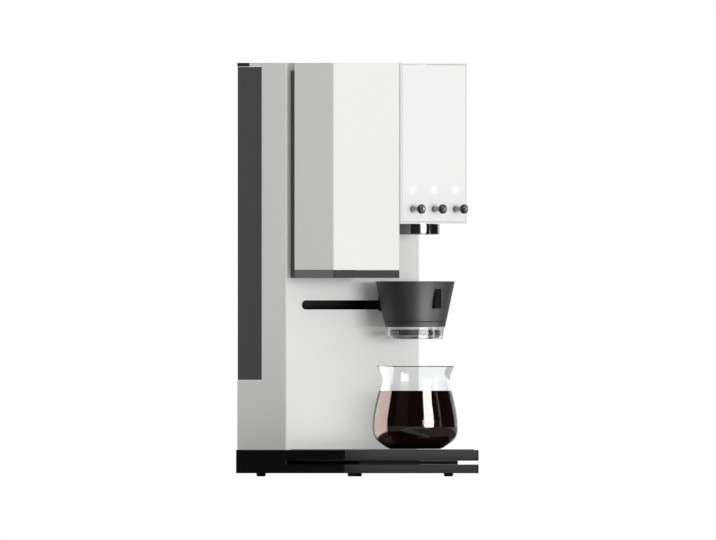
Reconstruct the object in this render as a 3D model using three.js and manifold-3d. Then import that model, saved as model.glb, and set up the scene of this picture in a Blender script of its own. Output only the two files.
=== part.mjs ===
// A one-cup coffee maker with a built-in grinder, in millimetres, with +Z up.
// X runs to the machine's right as its user sees it, -Y is its front, and the origin is the middle of
// the footprint on the worktop. The grinder is the left block and the brew head is the right one.
// A filter holder hangs on a carriage that runs in a slot between the two, over a weighing platform.
import * as THREE from "three";
import { mergeVertices } from "three/addons/utils/BufferGeometryUtils.js";
import Module from "manifold-3d";

const wasm = await Module();
wasm.setup();

// Clearances: between fixed neighbours, round what turns or slides, and past a face that is cut.
// The last one is the distance under which two corners of one mesh count as the same.
const seatGap = 0.3;
const runGap = 0.4;
const overrun = 2;
const weldGap = 1e-4;

// Facets round a full circle, for large, middling and small turned pieces.
const largeSides = 48;
const middleSides = 32;
const smallSides = 20;
const cornerSteps = 3;

// Base: a thin chassis plate with a raised rear block that carries the column.
const base = {
  width: 182,
  depth: 195,
  plate: 9.4,
  rearDepth: 89.6,
  rearHeight: 25.1,
  corner: 3,
  wall: 2.4,
};
const foot = { radius: 5, height: 3.4, bevel: 1.2, inset: 26.4, frontInset: 20.8, rearInset: 11.7 };

// Weighing platform on its pedestal, over a slit, with a drip grille let into its top.
const platform = { slit: 4, thickness: 12.3, rim: 4, floor: 3.2, corner: 3, rimDrop: 0.7 };
const pedestal = { width: 133, frontInset: 5.3, rearInset: 12, corner: 2 };
const grille = { thickness: 3, bar: 3.2, slotCount: 20, edge: 7 };
const loadCell = { width: 12.7, length: 76, height: 6.4, waistRadius: 2.1, wellMargin: 3 };

// Column: a folded shell behind the wall that the carriage slot is cut in.
const column = { sideInset: 1.4, rearInset: 1.1, wall: 2.4, top: 443.6, cap: 4, corner: 2 };
const tank = { depth: 43.2, bottom: 103.4, wall: 2.4, corner: 3, lidDepth: 21.3, gripWidth: 60 };
const tankMouth = { sideInset: 12, edge: 3 };
const tankSocket = { radius: 9, bore: 4, length: 14, height: 14 };

// Carriage slot and what runs in it, between the brewing place and the grinder's outlet.
const slot = { width: 137.2, height: 9.9, bottom: 179, linerWall: 1.2, linerDepth: 5, linerEnd: 1 };
const travel = { brewReach: 50.9 };
const carriage = {
  width: 24,
  bottom: 177.4,
  height: 21.6,
  armWidth: 24,
  armHeight: 8.4,
  blockWidth: 44,
  blockHeight: 26,
  blockDepth: 20,
};
const rail = { length: 164, height: 12, depth: 6, setback: 9, footWidth: 6 };

// Grinder block, with its dark bottom band, and brew head beside it.
const blocks = { reach: 84.5, neckReach: 13.9, midGap: 1, wall: 2.4, corner: 1.5 };
const grinderBlock = { bottom: 212.8, band: 8.6, bandFloor: 3 };
const head = { width: 89.5, bottom: 270.9, frame: 2, panel: 3, floor: 3 };
const neck = { inset: 5.6, wall: 3, topDrop: 8.3, passWidth: 46, passBottom: 330, passHeight: 90 };

// Three dials with a push, on the head's panel, each under a lit sign.
const dial = {
  pitch: 28.7,
  height: 15.9,
  radius: 5.1,
  cap: 2.8,
  reach: 16.8,
  stemRadius: 2.6,
  bevel: 0.4,
};
const spindle = { radius: 1.5, length: 24 };
const sign = { size: 10, height: 36.1, barHeight: 14, barDepth: 3, skin: 0.8 };
const dialBoard = {
  thickness: 1.6,
  setback: 10,
  height: 40,
  drop: 6,
  sideMargin: 4.5,
  bushRadius: 5,
  bushDepth: 7,
};

// Shower head under the brew head.
const shower = { radius: 26.3, height: 11.5, wall: 3, flange: 4, flangeReach: 3 };
const turret = { thickness: 5, shaftRadius: 3, nozzleRadius: 3, nozzleReach: 13 };
const spoutMotor = { radius: 12, height: 26, flangeRadius: 18, flange: 2 };

// Filter holder: an open cone over a clear collar with a drain plate, gripped by a pad at the back.
const dripper = {
  topRadius: 42.5,
  bottomRadius: 32.2,
  top: 209.3,
  bottom: 160.2,
  wall: 2.6,
  grooveHeight: 5.7,
  grooveDepth: 0.6,
};
const collar = { topRadius: 31.3, bottomRadius: 29.7, height: 12.8, wall: 2.4 };
const drain = { bottom: 151, thickness: 5.6, holeRadius: 6 };
const pad = { width: 9, bottom: 180, height: 21.4, reach: 40.8 };

// Carafe: its outline is a list of shares of its height and of its widest radius.
const carafe = { radius: 45.7, height: 89, wall: 2.2, floor: 3 };
const carafeOutlineShares = [
  [0, 0],
  [0.58, 0],
  [0.74, 0.05],
  [0.868, 0.088],
  [0.932, 0.124],
  [0.972, 0.163],
  [0.992, 0.205],
  [1, 0.27],
  [0.994, 0.345],
  [0.953, 0.487],
  [0.892, 0.632],
  [0.828, 0.755],
  [0.811, 0.825],
  [0.828, 0.885],
  [0.872, 0.945],
  [0.917, 1],
];
const lip = { reach: 2.6, width: 14, turnDegrees: 37 };

// Grinder works, on one frame, from the hopper lid down to the chute.
const grinder = { wallReach: 48.9, chuteReach: 24.5 };
const hopper = { radius: 24, throat: 14, wall: 2, flange: 2, margin: 2.4 };
const hopperCover = { width: 64, depth: 50, thickness: 3 };
const ringBurr = { radius: 29, height: 14, topBore: 20.5, bore: 18.5, top: 381 };
const housing = { radius: 27, height: 40, wall: 3, floor: 3, boxWidth: 19, boxHeight: 18, boxReach: 34 };
const coneBurr = { topRadius: 8, radius: 17, height: 22, rise: 3, shaftRadius: 4 };
const flute = { count: 9, radius: 1.6, sides: 6 };
const gear = { module: 0.8, wheelTeeth: 36, pinionTeeth: 12, face: 8 };
const toothShares = { root: 0.34, pitch: 0.22, tip: 0.1, depth: 1.25 };
const motor = { radius: 18, height: 50, shaftRadius: 2.5, shaftDepth: 8 };
const frame = { thickness: 3, gearRoom: 14.4, bottom: 240 };
const chute = { radius: 7.5, wall: 1.5, sides: 12, steps: 18, elbowTop: 262, elbowBottom: 226 };

// Water and power works in the column.
const heater = { radius: 17, height: 96, bottom: 292, x: 42, wallReach: 23.1, bracket: 16, barb: 10 };
const pump = { radius: 16, height: 66, x: -36, wallReach: 32.1, portRadius: 4, portLength: 12 };
const hose = { radius: 3.2, wall: 1, bend: 7, sides: 8, steps: 30 };
const board = { width: 66, height: 78, thickness: 1.6, x: 44, setback: 1 };
const boardPart = { size: 16, reach: 12, pitch: 19.2, rise: 32, step: 8 };
const inlet = { width: 28, height: 21, depth: 24, flangeReach: 4, wall: 2, pinRadius: 1.6, pinLength: 16.8 };
const inletPlace = { x: 50, bottom: 50, pinSpread: 7 };
const rocker = { width: 14, height: 20, depth: 9, x: 10, rise: 1.6 };

// Places worked out from the sizes above.
const frontY = -base.depth / 2;
const rearY = base.depth / 2;
const wallY = rearY - base.rearDepth;
const columnRearY = rearY - column.rearInset;
const columnHalf = base.width / 2 - column.sideInset;
const plateTop = foot.height + base.plate;
const platformBottom = plateTop + platform.slit;
const platformTop = platformBottom + platform.thickness;
const columnBottom = foot.height + base.rearHeight;
const capBottom = column.top - column.cap;
const tankFrontY = columnRearY - tank.depth;
const blockFrontY = wallY - blocks.reach;
const blockRearY = wallY - blocks.neckReach;
const brewY = wallY - travel.brewReach;
const grinderY = wallY - grinder.wallReach;
const heaterY = wallY + heater.wallReach;
const pumpY = wallY + pump.wallReach;
const grinderRightX = -blocks.midGap / 2;
const headLeftX = blocks.midGap / 2;
const headRightX = headLeftX + head.width;
const stationX = (headLeftX + headRightX) / 2;
const bandTop = grinderBlock.bottom + grinderBlock.band;
const neckTop = column.top - neck.topDrop;
const neckLeftX = neck.inset - columnHalf;
const slotMidZ = slot.bottom + slot.height / 2;
const dialZ = head.bottom + dial.height;
const signZ = head.bottom + sign.height;
const panelLeftX = headLeftX + head.frame;
const panelRightX = headRightX - head.frame;
const panelBackY = blockFrontY + head.panel;
const dripperRearY = brewY + pad.reach;

// Finishes.
const whiteShell = { color: 0xf2f2f0, roughness: 0.4, metalness: 0 };
const greyTrim = { color: 0x66686a, roughness: 0.45, metalness: 0 };
const blackPlastic = { color: 0x17181a, roughness: 0.35, metalness: 0 };
const darkCone = { color: 0x3a3b3d, roughness: 0.5, metalness: 0 };
const clearPlastic = { color: 0xdfe4e6, roughness: 0.1, metalness: 0 };
const smokedPlastic = { color: 0x3c3f43, roughness: 0.15, metalness: 0 };
const glassLook = { color: 0xeaf0f2, roughness: 0.02, metalness: 0 };
const brightMetal = { color: 0xb9bbbd, roughness: 0.2, metalness: 1 };
const steelLook = { color: 0x8f9296, roughness: 0.35, metalness: 1 };
const rubberLook = { color: 0x1c1c1c, roughness: 0.8, metalness: 0 };
const boardGreen = { color: 0x1f5a3c, roughness: 0.6, metalness: 0 };

// A closed geometry as a solid that can be joined and cut, and back again.
function solidOf(geometry) {
  const bare = geometry.index ? geometry.toNonIndexed() : geometry.clone();
  bare.deleteAttribute("normal");
  bare.deleteAttribute("uv");
  const merged = mergeVertices(bare, weldGap);
  return new wasm.Manifold(
    new wasm.Mesh({
      numProp: 3,
      vertProperties: merged.attributes.position.array,
      triVerts: new Uint32Array(merged.index.array),
    }),
  );
}

function geometryOf(solid) {
  const mesh = solid.getMesh();
  const geometry = new THREE.BufferGeometry();
  geometry.setAttribute("position", new THREE.BufferAttribute(mesh.vertProperties, 3));
  geometry.setIndex(new THREE.BufferAttribute(mesh.triVerts, 1));
  return geometry;
}

function join(...pieces) {
  return geometryOf(pieces.map(solidOf).reduce((whole, piece) => whole.add(piece)));
}

function cut(body, ...tools) {
  return geometryOf(tools.map(solidOf).reduce((rest, tool) => rest.subtract(tool), solidOf(body)));
}

// A plain box between two corners.
function block([x0, y0, z0], [x1, y1, z1]) {
  const box = new THREE.BoxGeometry(x1 - x0, y1 - y0, z1 - z0);
  return box.translate((x0 + x1) / 2, (y0 + y1) / 2, (z0 + z1) / 2);
}

// A box between two corners with its upright edges rounded.
function roundedBlock([x0, y0, z0], [x1, y1, z1], radius) {
  const outline = new THREE.Shape();
  outline.absarc(x1 - radius, y0 + radius, radius, -Math.PI / 2, 0);
  outline.absarc(x1 - radius, y1 - radius, radius, 0, Math.PI / 2);
  outline.absarc(x0 + radius, y1 - radius, radius, Math.PI / 2, Math.PI);
  outline.absarc(x0 + radius, y0 + radius, radius, Math.PI, Math.PI * 1.5);
  return raised(outline, z0, z1, cornerSteps);
}

// A flat outline raised between two heights.
function raised(outline, z0, z1, curveSegments) {
  const options = { depth: z1 - z0, bevelEnabled: false, curveSegments };
  return new THREE.ExtrudeGeometry(outline, options).translate(0, 0, z0);
}

// A closed profile of [radius, height] points turned about Z.
function turned(profile, sides) {
  const points = profile.map(([radius, height]) => new THREE.Vector2(radius, height));
  return new THREE.LatheGeometry(points, sides).rotateX(Math.PI / 2);
}

// A round bar from a point along "x", "y" or "z".
function bar(axis, [x, y, z], length, radius, sides = smallSides) {
  const rod = new THREE.CylinderGeometry(radius, radius, length, sides);
  if (axis === "x") rod.rotateZ(-Math.PI / 2).translate(length / 2, 0, 0);
  if (axis === "y") rod.translate(0, length / 2, 0);
  if (axis === "z") rod.rotateX(Math.PI / 2).translate(0, 0, length / 2);
  return rod.translate(x, y, z);
}

function meshOf(name, geometry, look, [x, y, z] = [0, 0, 0]) {
  const mesh = new THREE.Mesh(geometry, new THREE.MeshStandardMaterial(look));
  mesh.name = name;
  mesh.position.set(x, y, z);
  return mesh;
}

function groupOf(...meshes) {
  return new THREE.Group().add(...meshes);
}

// Base chassis: thin plate in front, hollow raised block behind, with a well for the load cell.
function baseChassis() {
  const half = base.width / 2;
  const plate = roundedBlock([-half, frontY, foot.height], [half, rearY, plateTop], base.corner);
  const rear = roundedBlock([-half, wallY, foot.height], [half, rearY, columnBottom], base.corner);
  const room = block(
    [base.wall - half, wallY + base.wall, foot.height + base.wall],
    [half - base.wall, rearY - base.wall, columnBottom + overrun],
  );
  const wellX = loadCell.length / 2 + loadCell.wellMargin;
  const wellY = loadCell.width / 2 + loadCell.wellMargin;
  const middleY = pedestalMiddleY();
  const well = block(
    [-wellX, middleY - wellY, plateTop - loadCell.height - seatGap],
    [wellX, middleY + wellY, plateTop + overrun],
  );
  return meshOf("base_chassis", cut(join(plate, rear), room, well), blackPlastic);
}

function feet() {
  const profile = [
    [0, 0],
    [foot.radius - foot.bevel, 0],
    [foot.radius, foot.bevel],
    [foot.radius, foot.height],
    [0, foot.height],
  ];
  const sideX = base.width / 2 - foot.inset;
  const frontFootY = frontY + foot.frontInset;
  const rearFootY = rearY - foot.rearInset;
  const places = {
    foot_front_left: [-sideX, frontFootY, 0],
    foot_front_right: [sideX, frontFootY, 0],
    foot_rear_left: [-sideX, rearFootY, 0],
    foot_rear_right: [sideX, rearFootY, 0],
  };
  return Object.entries(places).map(([name, place]) =>
    meshOf(name, turned(profile, smallSides), rubberLook, place),
  );
}

function pedestalMiddleY() {
  return (frontY + pedestal.frontInset + wallY - pedestal.rearInset) / 2;
}

// The load cell lies in the chassis well, and the pedestal stands on it and fills the slit.
function loadCellBar() {
  const bottom = plateTop - loadCell.height;
  const solid = block(
    [-loadCell.length / 2, -loadCell.width / 2, bottom],
    [loadCell.length / 2, loadCell.width / 2, plateTop],
  );
  const waist = bar(
    "y",
    [0, -loadCell.width, bottom + loadCell.height / 2],
    2 * loadCell.width,
    loadCell.waistRadius,
  );
  return meshOf("load_cell", cut(solid, waist), steelLook, [0, pedestalMiddleY(), 0]);
}

function pedestalPlate() {
  const solid = roundedBlock(
    [-pedestal.width / 2, frontY + pedestal.frontInset, plateTop + seatGap],
    [pedestal.width / 2, wallY - pedestal.rearInset, platformBottom - seatGap],
    pedestal.corner,
  );
  return meshOf("scale_pedestal", solid, blackPlastic);
}

// Platform: a shallow tray with a rim, and a slotted grille that rests in it.
function dripPlatform() {
  const half = base.width / 2;
  const top = platformTop - platform.rimDrop;
  const outer = roundedBlock(
    [-half, frontY, platformBottom],
    [half, wallY - seatGap, top],
    platform.corner,
  );
  const tray = block(
    [platform.rim - half, frontY + platform.rim, platformBottom + platform.floor],
    [half - platform.rim, wallY - seatGap - platform.rim, top + overrun],
  );
  const ledgeX = half - platform.rim;
  const ledge = block(
    [-ledgeX, grilleBox().midY - grille.bar, platformBottom + platform.floor - seatGap],
    [ledgeX, grilleBox().midY + grille.bar, platformTop - grille.thickness - seatGap],
  );
  return meshOf("drip_platform", join(cut(outer, tray), ledge), blackPlastic);
}

function grilleBox() {
  const x = base.width / 2 - platform.rim - seatGap;
  const y0 = frontY + platform.rim + seatGap;
  const y1 = wallY - platform.rim - 2 * seatGap;
  return { x, y0, y1, midY: (y0 + y1) / 2 };
}

function dripGrille() {
  const { x, y0, y1, midY } = grilleBox();
  const bottom = platformTop - grille.thickness;
  const plate = block([-x, y0, bottom], [x, y1, platformTop]);
  const pitch = (2 * x - 2 * grille.edge + grille.bar) / grille.slotCount;
  const rows = [
    [y0 + grille.edge, midY - grille.bar],
    [midY + grille.bar, y1 - grille.edge],
  ];
  const slots = [];
  for (let i = 0; i < grille.slotCount; i++) {
    const left = -x + grille.edge + i * pitch;
    const right = left + pitch - grille.bar;
    for (const [near, far] of rows) {
      slots.push(block([left, near, bottom - overrun], [right, far, platformTop + overrun]));
    }
  }
  return meshOf("drip_grille", cut(plate, ...slots), greyTrim);
}

// Outline of a long opening with full-round ends, in X and Z, as a solid that runs along Y.
function slotBar(width, height, midZ, y0, y1) {
  const radius = height / 2;
  const reach = width / 2 - radius;
  const outline = new THREE.Shape();
  outline.absarc(reach, 0, radius, -Math.PI / 2, Math.PI / 2);
  outline.absarc(-reach, 0, radius, Math.PI / 2, Math.PI * 1.5);
  const solid = raised(outline, 0, y1 - y0, smallSides / 2);
  return solid.rotateX(Math.PI / 2).translate(0, y1, midZ);
}

// Column shell: front wall, side walls, a top that overhangs the tank as far as the tank's lid, and a
// shelf that the tank slides over. It is open at the rear and at the foot.
function columnShell() {
  const lower = roundedBlock(
    [-columnHalf, wallY, columnBottom],
    [columnHalf, columnRearY, tank.bottom - seatGap],
    column.corner,
  );
  const upper = roundedBlock(
    [-columnHalf, wallY, columnBottom],
    [columnHalf, tankFrontY - seatGap, column.top],
    column.corner,
  );
  const top = roundedBlock(
    [-columnHalf, wallY, capBottom],
    [columnHalf, columnRearY - tank.lidDepth - seatGap, column.top],
    column.corner,
  );
  const inside = columnHalf - column.wall;
  const lowerRoom = block(
    [-inside, wallY + column.wall, columnBottom - overrun],
    [inside, columnRearY + overrun, tank.bottom - seatGap - column.wall],
  );
  const upperRoom = block(
    [-inside, wallY + column.wall, columnBottom - overrun],
    [inside, tankFrontY - seatGap + overrun, capBottom],
  );
  const frontCut = [wallY - overrun, wallY + column.wall + overrun];
  const carriageSlot = slotBar(slot.width, slot.height, slotMidZ, ...frontCut);
  const passes = [-stationX, stationX].map((x) =>
    block(
      [x - neck.passWidth / 2, frontCut[0], neck.passBottom],
      [x + neck.passWidth / 2, frontCut[1], neck.passBottom + neck.passHeight],
    ),
  );
  const shell = cut(join(lower, upper, top), lowerRoom, upperRoom, carriageSlot, ...passes);
  return meshOf("column_shell", shell, whiteShell);
}

// Plate that closes the column's back in front of the tank, with a hole for the tank's socket.
function bulkhead() {
  const inside = columnHalf - column.wall - seatGap;
  const back = tankFrontY - seatGap;
  const plate = block(
    [-inside, back - column.wall, tank.bottom],
    [inside, back, capBottom - seatGap],
  );
  const hole = bar(
    "y",
    [0, back - column.wall - overrun, tankSocketZ()],
    column.wall + 2 * overrun,
    tankSocket.radius + seatGap,
  );
  return meshOf("bulkhead", cut(plate, hole), whiteShell);
}

function tankSocketZ() {
  return tank.bottom + tankSocket.height;
}

function inletHoleBox() {
  return {
    x0: inletPlace.x - inlet.width / 2,
    x1: inletPlace.x + inlet.width / 2,
    z0: inletPlace.bottom,
    z1: inletPlace.bottom + inlet.height,
  };
}

// Cover of the lower back, with the holes for the power inlet and the power rocker.
function rearLowerCover() {
  const inside = columnHalf - column.wall - seatGap;
  const plate = block(
    [-inside, columnRearY - column.wall, columnBottom + seatGap],
    [inside, columnRearY, tank.bottom - column.wall - 2 * seatGap],
  );
  const cutY = [columnRearY - column.wall - overrun, columnRearY + overrun];
  const { x0, x1, z0, z1 } = inletHoleBox();
  const inletHole = block([x0, cutY[0], z0], [x1, cutY[1], z1]);
  const rockerHole = block(
    [rocker.x - rocker.width / 2, cutY[0], inletPlace.bottom],
    [rocker.x + rocker.width / 2, cutY[1], inletPlace.bottom + rocker.height],
  );
  return meshOf("rear_lower_cover", cut(plate, inletHole, rockerHole), greyTrim);
}

// Dark housing behind the slot: it keeps steam off the works, and holds the rail that the carriage
// runs on. Its thick front repeats the slot's outline.
function slotLiner() {
  const wallBack = wallY + column.wall + seatGap;
  const halfX = rail.length / 2 + slot.linerEnd;
  const halfZ = carriage.blockHeight / 2 + slot.linerEnd;
  const room = block(
    [-halfX, wallBack + slot.linerDepth, slotMidZ - halfZ],
    [halfX, wallBack + slot.linerDepth + carriage.blockDepth + 2 * slot.linerEnd, slotMidZ + halfZ],
  );
  const outer = block(
    [-halfX - slot.linerWall, wallBack, slotMidZ - halfZ - slot.linerWall],
    [
      halfX + slot.linerWall,
      wallBack + slot.linerDepth + carriage.blockDepth + 2 * slot.linerEnd + slot.linerWall,
      slotMidZ + halfZ + slot.linerWall,
    ],
  );
  const mouth = slotBar(
    slot.width,
    slot.height,
    slotMidZ,
    wallBack - overrun,
    wallBack + slot.linerDepth + overrun,
  );
  return meshOf("slot_liner", cut(outer, room, mouth), blackPlastic);
}

// Water tank: an open-topped box with its mouth at the rear edge, under the lid.
function waterTank() {
  const x = columnHalf;
  const top = capBottom - seatGap;
  const outer = roundedBlock([-x, tankFrontY, tank.bottom], [x, columnRearY, top], tank.corner);
  const room = block(
    [tank.wall - x, tankFrontY + tank.wall, tank.bottom + tank.wall],
    [x - tank.wall, columnRearY - tank.wall, top - tank.wall],
  );
  const mouth = block(
    [tankMouth.sideInset - x, columnRearY - tank.lidDepth + tankMouth.edge, top - tank.wall - overrun],
    [x - tankMouth.sideInset, columnRearY - tankMouth.edge, top + overrun],
  );
  const outlet = bar(
    "y",
    [0, tankFrontY - overrun, tankSocketZ()],
    tank.wall + 2 * overrun,
    tankSocket.bore + seatGap,
  );
  return meshOf("water_tank", cut(outer, room, mouth, outlet), smokedPlastic);
}

// Valve nipple in the tank's front wall. It reaches into the socket behind the bulkhead.
function tankValve() {
  const reach = tankSocket.length / 2;
  const rod = bar("y", [0, -reach, 0], reach + tank.wall, tankSocket.bore);
  const flange = bar("y", [0, tank.wall + seatGap, 0], tank.wall, tankSocket.bore + tank.wall);
  const core = bar("y", [0, tank.wall, 0], 2 * seatGap, tankSocket.bore);
  const place = [0, tankFrontY, tankSocketZ()];
  return meshOf("tank_valve", join(rod, core, flange), blackPlastic, place);
}

function tankSocketPiece() {
  const length = tankSocket.length;
  const profile = [
    [tankSocket.bore + seatGap, 0],
    [tankSocket.radius, 0],
    [tankSocket.radius, length],
    [tankSocket.bore + seatGap, length],
    [tankSocket.bore + seatGap, 0],
  ];
  const ring = turned(profile, middleSides).rotateX(Math.PI / 2);
  const place = [0, tankFrontY - 2 * seatGap, tankSocketZ()];
  return meshOf("tank_socket", ring, blackPlastic, place);
}

// Tank lid: hinged at its front edge, with a finger notch at the rear.
function tankLid() {
  const lid = roundedBlock(
    [-columnHalf, columnRearY - tank.lidDepth, capBottom],
    [columnHalf, columnRearY, column.top],
    column.corner,
  );
  const grip = block(
    [-tank.gripWidth / 2, columnRearY - tankMouth.edge, capBottom - overrun],
    [tank.gripWidth / 2, columnRearY + overrun, capBottom + column.cap / 2],
  );
  return meshOf("tank_lid", cut(lid, grip), blackPlastic);
}

// Dark hollow necks that join the grinder block and the brew head to the column.
function neckFrame(name, x0, x1, z0) {
  const [y0, y1] = [blockRearY + seatGap, wallY - seatGap];
  const outer = block([x0, y0, z0], [x1, y1, neckTop]);
  const pass = block(
    [x0 + neck.wall, y0 - overrun, z0 + neck.wall],
    [x1 - neck.wall, y1 + overrun, neckTop - neck.wall],
  );
  return meshOf(name, cut(outer, pass), blackPlastic);
}

// Brew head: a shell open at the front and the rear, with a floor that the shower head passes.
function headShell() {
  const outer = roundedBlock(
    [headLeftX, blockFrontY, head.bottom],
    [headRightX, blockRearY, column.top],
    blocks.corner,
  );
  const room = block(
    [panelLeftX, blockFrontY - overrun, head.bottom + head.floor],
    [panelRightX, blockRearY + overrun, column.top - head.frame],
  );
  const panelSeat = block(
    [panelLeftX, blockFrontY - overrun, head.bottom + head.frame],
    [panelRightX, panelBackY + seatGap, column.top - head.frame],
  );
  const hole = bar(
    "z",
    [stationX, brewY, head.bottom - overrun],
    head.floor + 2 * overrun,
    shower.radius - shower.wall + seatGap,
    largeSides,
  );
  return meshOf("head_shell", cut(outer, room, panelSeat, hole), whiteShell);
}

function dialXs() {
  return {
    left: stationX - dial.pitch,
    centre: stationX,
    right: stationX + dial.pitch,
  };
}

// Glossy front panel with three dial holes, thinned from behind where the lit signs shine through it.
function headPanel() {
  const plate = block(
    [panelLeftX + seatGap, blockFrontY, head.bottom + head.frame + seatGap],
    [panelRightX - seatGap, panelBackY, column.top - head.frame - seatGap],
  );
  const cutY = [blockFrontY - overrun, panelBackY + overrun];
  const depth = cutY[1] - cutY[0];
  const holes = Object.values(dialXs()).flatMap((x) => [
    bar("y", [x, cutY[0], dialZ], depth, dial.stemRadius + runGap),
    block(
      [x - sign.size / 2, blockFrontY + sign.skin, signZ - sign.size / 2],
      [x + sign.size / 2, cutY[1], signZ + sign.size / 2],
    ),
  ]);
  return meshOf("head_front_panel", cut(plate, ...holes), whiteShell);
}

// One lit strip behind the panel, with a lens that fills each thinned place.
function displayLens() {
  const back = panelBackY + seatGap;
  const half = (panelRightX - panelLeftX) / 2 - dialBoard.sideMargin;
  const strip = block(
    [stationX - half, back, signZ - sign.barHeight / 2],
    [stationX + half, back + sign.barDepth, signZ + sign.barHeight / 2],
  );
  const side = sign.size / 2 - seatGap;
  const lenses = Object.values(dialXs()).map((x) =>
    block(
      [x - side, blockFrontY + sign.skin + seatGap, signZ - side],
      [x + side, back + sign.barDepth / 2, signZ + side],
    ),
  );
  return meshOf("display_lens", join(strip, ...lenses), clearPlastic);
}

// Board behind the dials: it carries the three bushes that the spindles turn and slide in.
function dialBoardPiece() {
  const front = panelBackY + dialBoard.setback;
  const half = (panelRightX - panelLeftX) / 2 - dialBoard.sideMargin;
  const plate = block(
    [stationX - half, front, dialZ - dialBoard.drop],
    [stationX + half, front + dialBoard.thickness, dialZ + dialBoard.height],
  );
  const standHeight = signZ + sign.barHeight / 2 + seatGap;
  const stands = [-1, 1].map((side) =>
    block(
      [stationX + side * dial.pitch - dialBoard.bushRadius, panelBackY + seatGap, standHeight],
      [
        stationX + side * dial.pitch + dialBoard.bushRadius,
        front + dialBoard.thickness,
        dialZ + dialBoard.height,
      ],
    ),
  );
  const bushes = Object.values(dialXs()).map((x) =>
    bar("y", [x, front - dialBoard.bushDepth, dialZ], dialBoard.bushDepth * 2, dialBoard.bushRadius),
  );
  const bores = Object.values(dialXs()).map((x) =>
    bar("y", [x, front - spindle.length, dialZ], 2 * spindle.length, spindle.radius + runGap / 2),
  );
  return meshOf("dial_board", cut(join(plate, ...stands, ...bushes), ...bores), boardGreen);
}

// Dial: a flat bevelled cap on a stem, bored for its spindle. Its axis runs along Y.
function dialPiece(name, x) {
  const stemEnd = dial.reach + head.panel;
  const bore = spindle.radius + runGap / 2;
  const profile = [
    [0, 0],
    [dial.radius - dial.bevel, 0],
    [dial.radius, dial.bevel],
    [dial.radius, dial.cap - dial.bevel],
    [dial.radius - dial.bevel, dial.cap],
    [dial.stemRadius, dial.cap],
    [dial.stemRadius, stemEnd],
    [bore, stemEnd],
    [bore, dial.cap + runGap],
    [0, dial.cap + runGap],
  ];
  const geometry = turned(profile, middleSides).rotateX(-Math.PI / 2);
  return meshOf(name, geometry, brightMetal, [x, blockFrontY - dial.reach, dialZ]);
}

// Spindle: it slides back when its dial is pushed, and the dial turns round it.
function spindlePiece(name, x) {
  const tipY = blockFrontY - dial.reach + dial.cap + 2 * runGap;
  const rod = bar("y", [0, 0, 0], spindle.length, spindle.radius);
  const collarDepth = dialBoard.thickness;
  const collarDisc = bar(
    "y",
    [0, panelBackY + seatGap - tipY, 0],
    collarDepth / 2,
    spindle.radius + runGap * 2,
  );
  return meshOf(name, join(rod, collarDisc), steelLook, [x, tipY, dialZ]);
}

// Shower housing: an open cup held through the head's floor by its flange, around the turning spout.
function showerHousing() {
  const inner = shower.radius - shower.wall;
  const top = shower.height + head.floor + shower.flange;
  const profile = [
    [inner - shower.wall, 0],
    [shower.radius, 0],
    [shower.radius, shower.height - seatGap],
    [inner, shower.height - seatGap],
    [inner, shower.height + head.floor + seatGap],
    [inner + shower.flangeReach, shower.height + head.floor + seatGap],
    [inner + shower.flangeReach, top],
    [turret.shaftRadius + runGap, top],
    [turret.shaftRadius + runGap, top - shower.wall],
    [inner - shower.wall, top - shower.wall],
    [inner - shower.wall, 0],
  ];
  const place = [stationX, brewY, head.bottom - shower.height];
  return meshOf("shower_housing", turned(profile, largeSides), brightMetal, place);
}

// Turning spout: a disc with a bored nozzle away from its centre, on the spout motor's shaft.
function spoutTurret() {
  const radius = shower.radius - 2 * shower.wall - runGap;
  const disc = bar("z", [0, 0, 0], turret.thickness, radius, largeSides);
  const top = shower.height + head.floor + shower.flange;
  const shaft = bar("z", [0, 0, turret.thickness / 2], top - turret.thickness / 2, turret.shaftRadius);
  const nozzle = bar(
    "z",
    [turret.nozzleReach, 0, 0],
    turret.thickness + overrun,
    turret.nozzleRadius,
  );
  const hollow = bar(
    "z",
    [turret.nozzleReach, 0, -2 * overrun],
    turret.thickness + 4 * overrun,
    turret.nozzleRadius / 2,
  );
  const place = [stationX, brewY, head.bottom - shower.height + seatGap];
  return meshOf("spout_turret", cut(join(disc, shaft, nozzle), hollow), brightMetal, place);
}

function spoutMotorPiece() {
  const body = bar("z", [0, 0, 0], spoutMotor.height, spoutMotor.radius, middleSides);
  const flange = bar("z", [0, 0, 0], spoutMotor.flange, spoutMotor.flangeRadius, middleSides);
  const bore = bar("z", [0, 0, -overrun], overrun + spoutMotor.flange, turret.shaftRadius + runGap);
  const bottom = head.bottom + head.floor + shower.flange + seatGap;
  const place = [stationX, brewY, bottom];
  return meshOf("spout_motor", cut(join(body, flange), bore), steelLook, place);
}

// Rail: a flat bar behind the slot, held off the housing's front by a foot at each end.
function carriageRail() {
  const half = rail.length / 2;
  const seatY = wallY + column.wall + slot.linerDepth + 2 * seatGap;
  const y0 = wallY + column.wall + seatGap + rail.setback;
  const midZ = slotMidZ;
  const strip = block([-half, y0, midZ - rail.height / 2], [half, y0 + rail.depth, midZ + rail.height / 2]);
  const ends = [-1, 1].map((side) => {
    const x0 = side > 0 ? half - rail.footWidth : -half;
    return block(
      [x0, seatY, midZ - rail.height],
      [x0 + rail.footWidth, y0 + rail.depth, midZ + rail.height],
    );
  });
  return meshOf("carriage_rail", join(strip, ...ends), steelLook);
}

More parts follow.
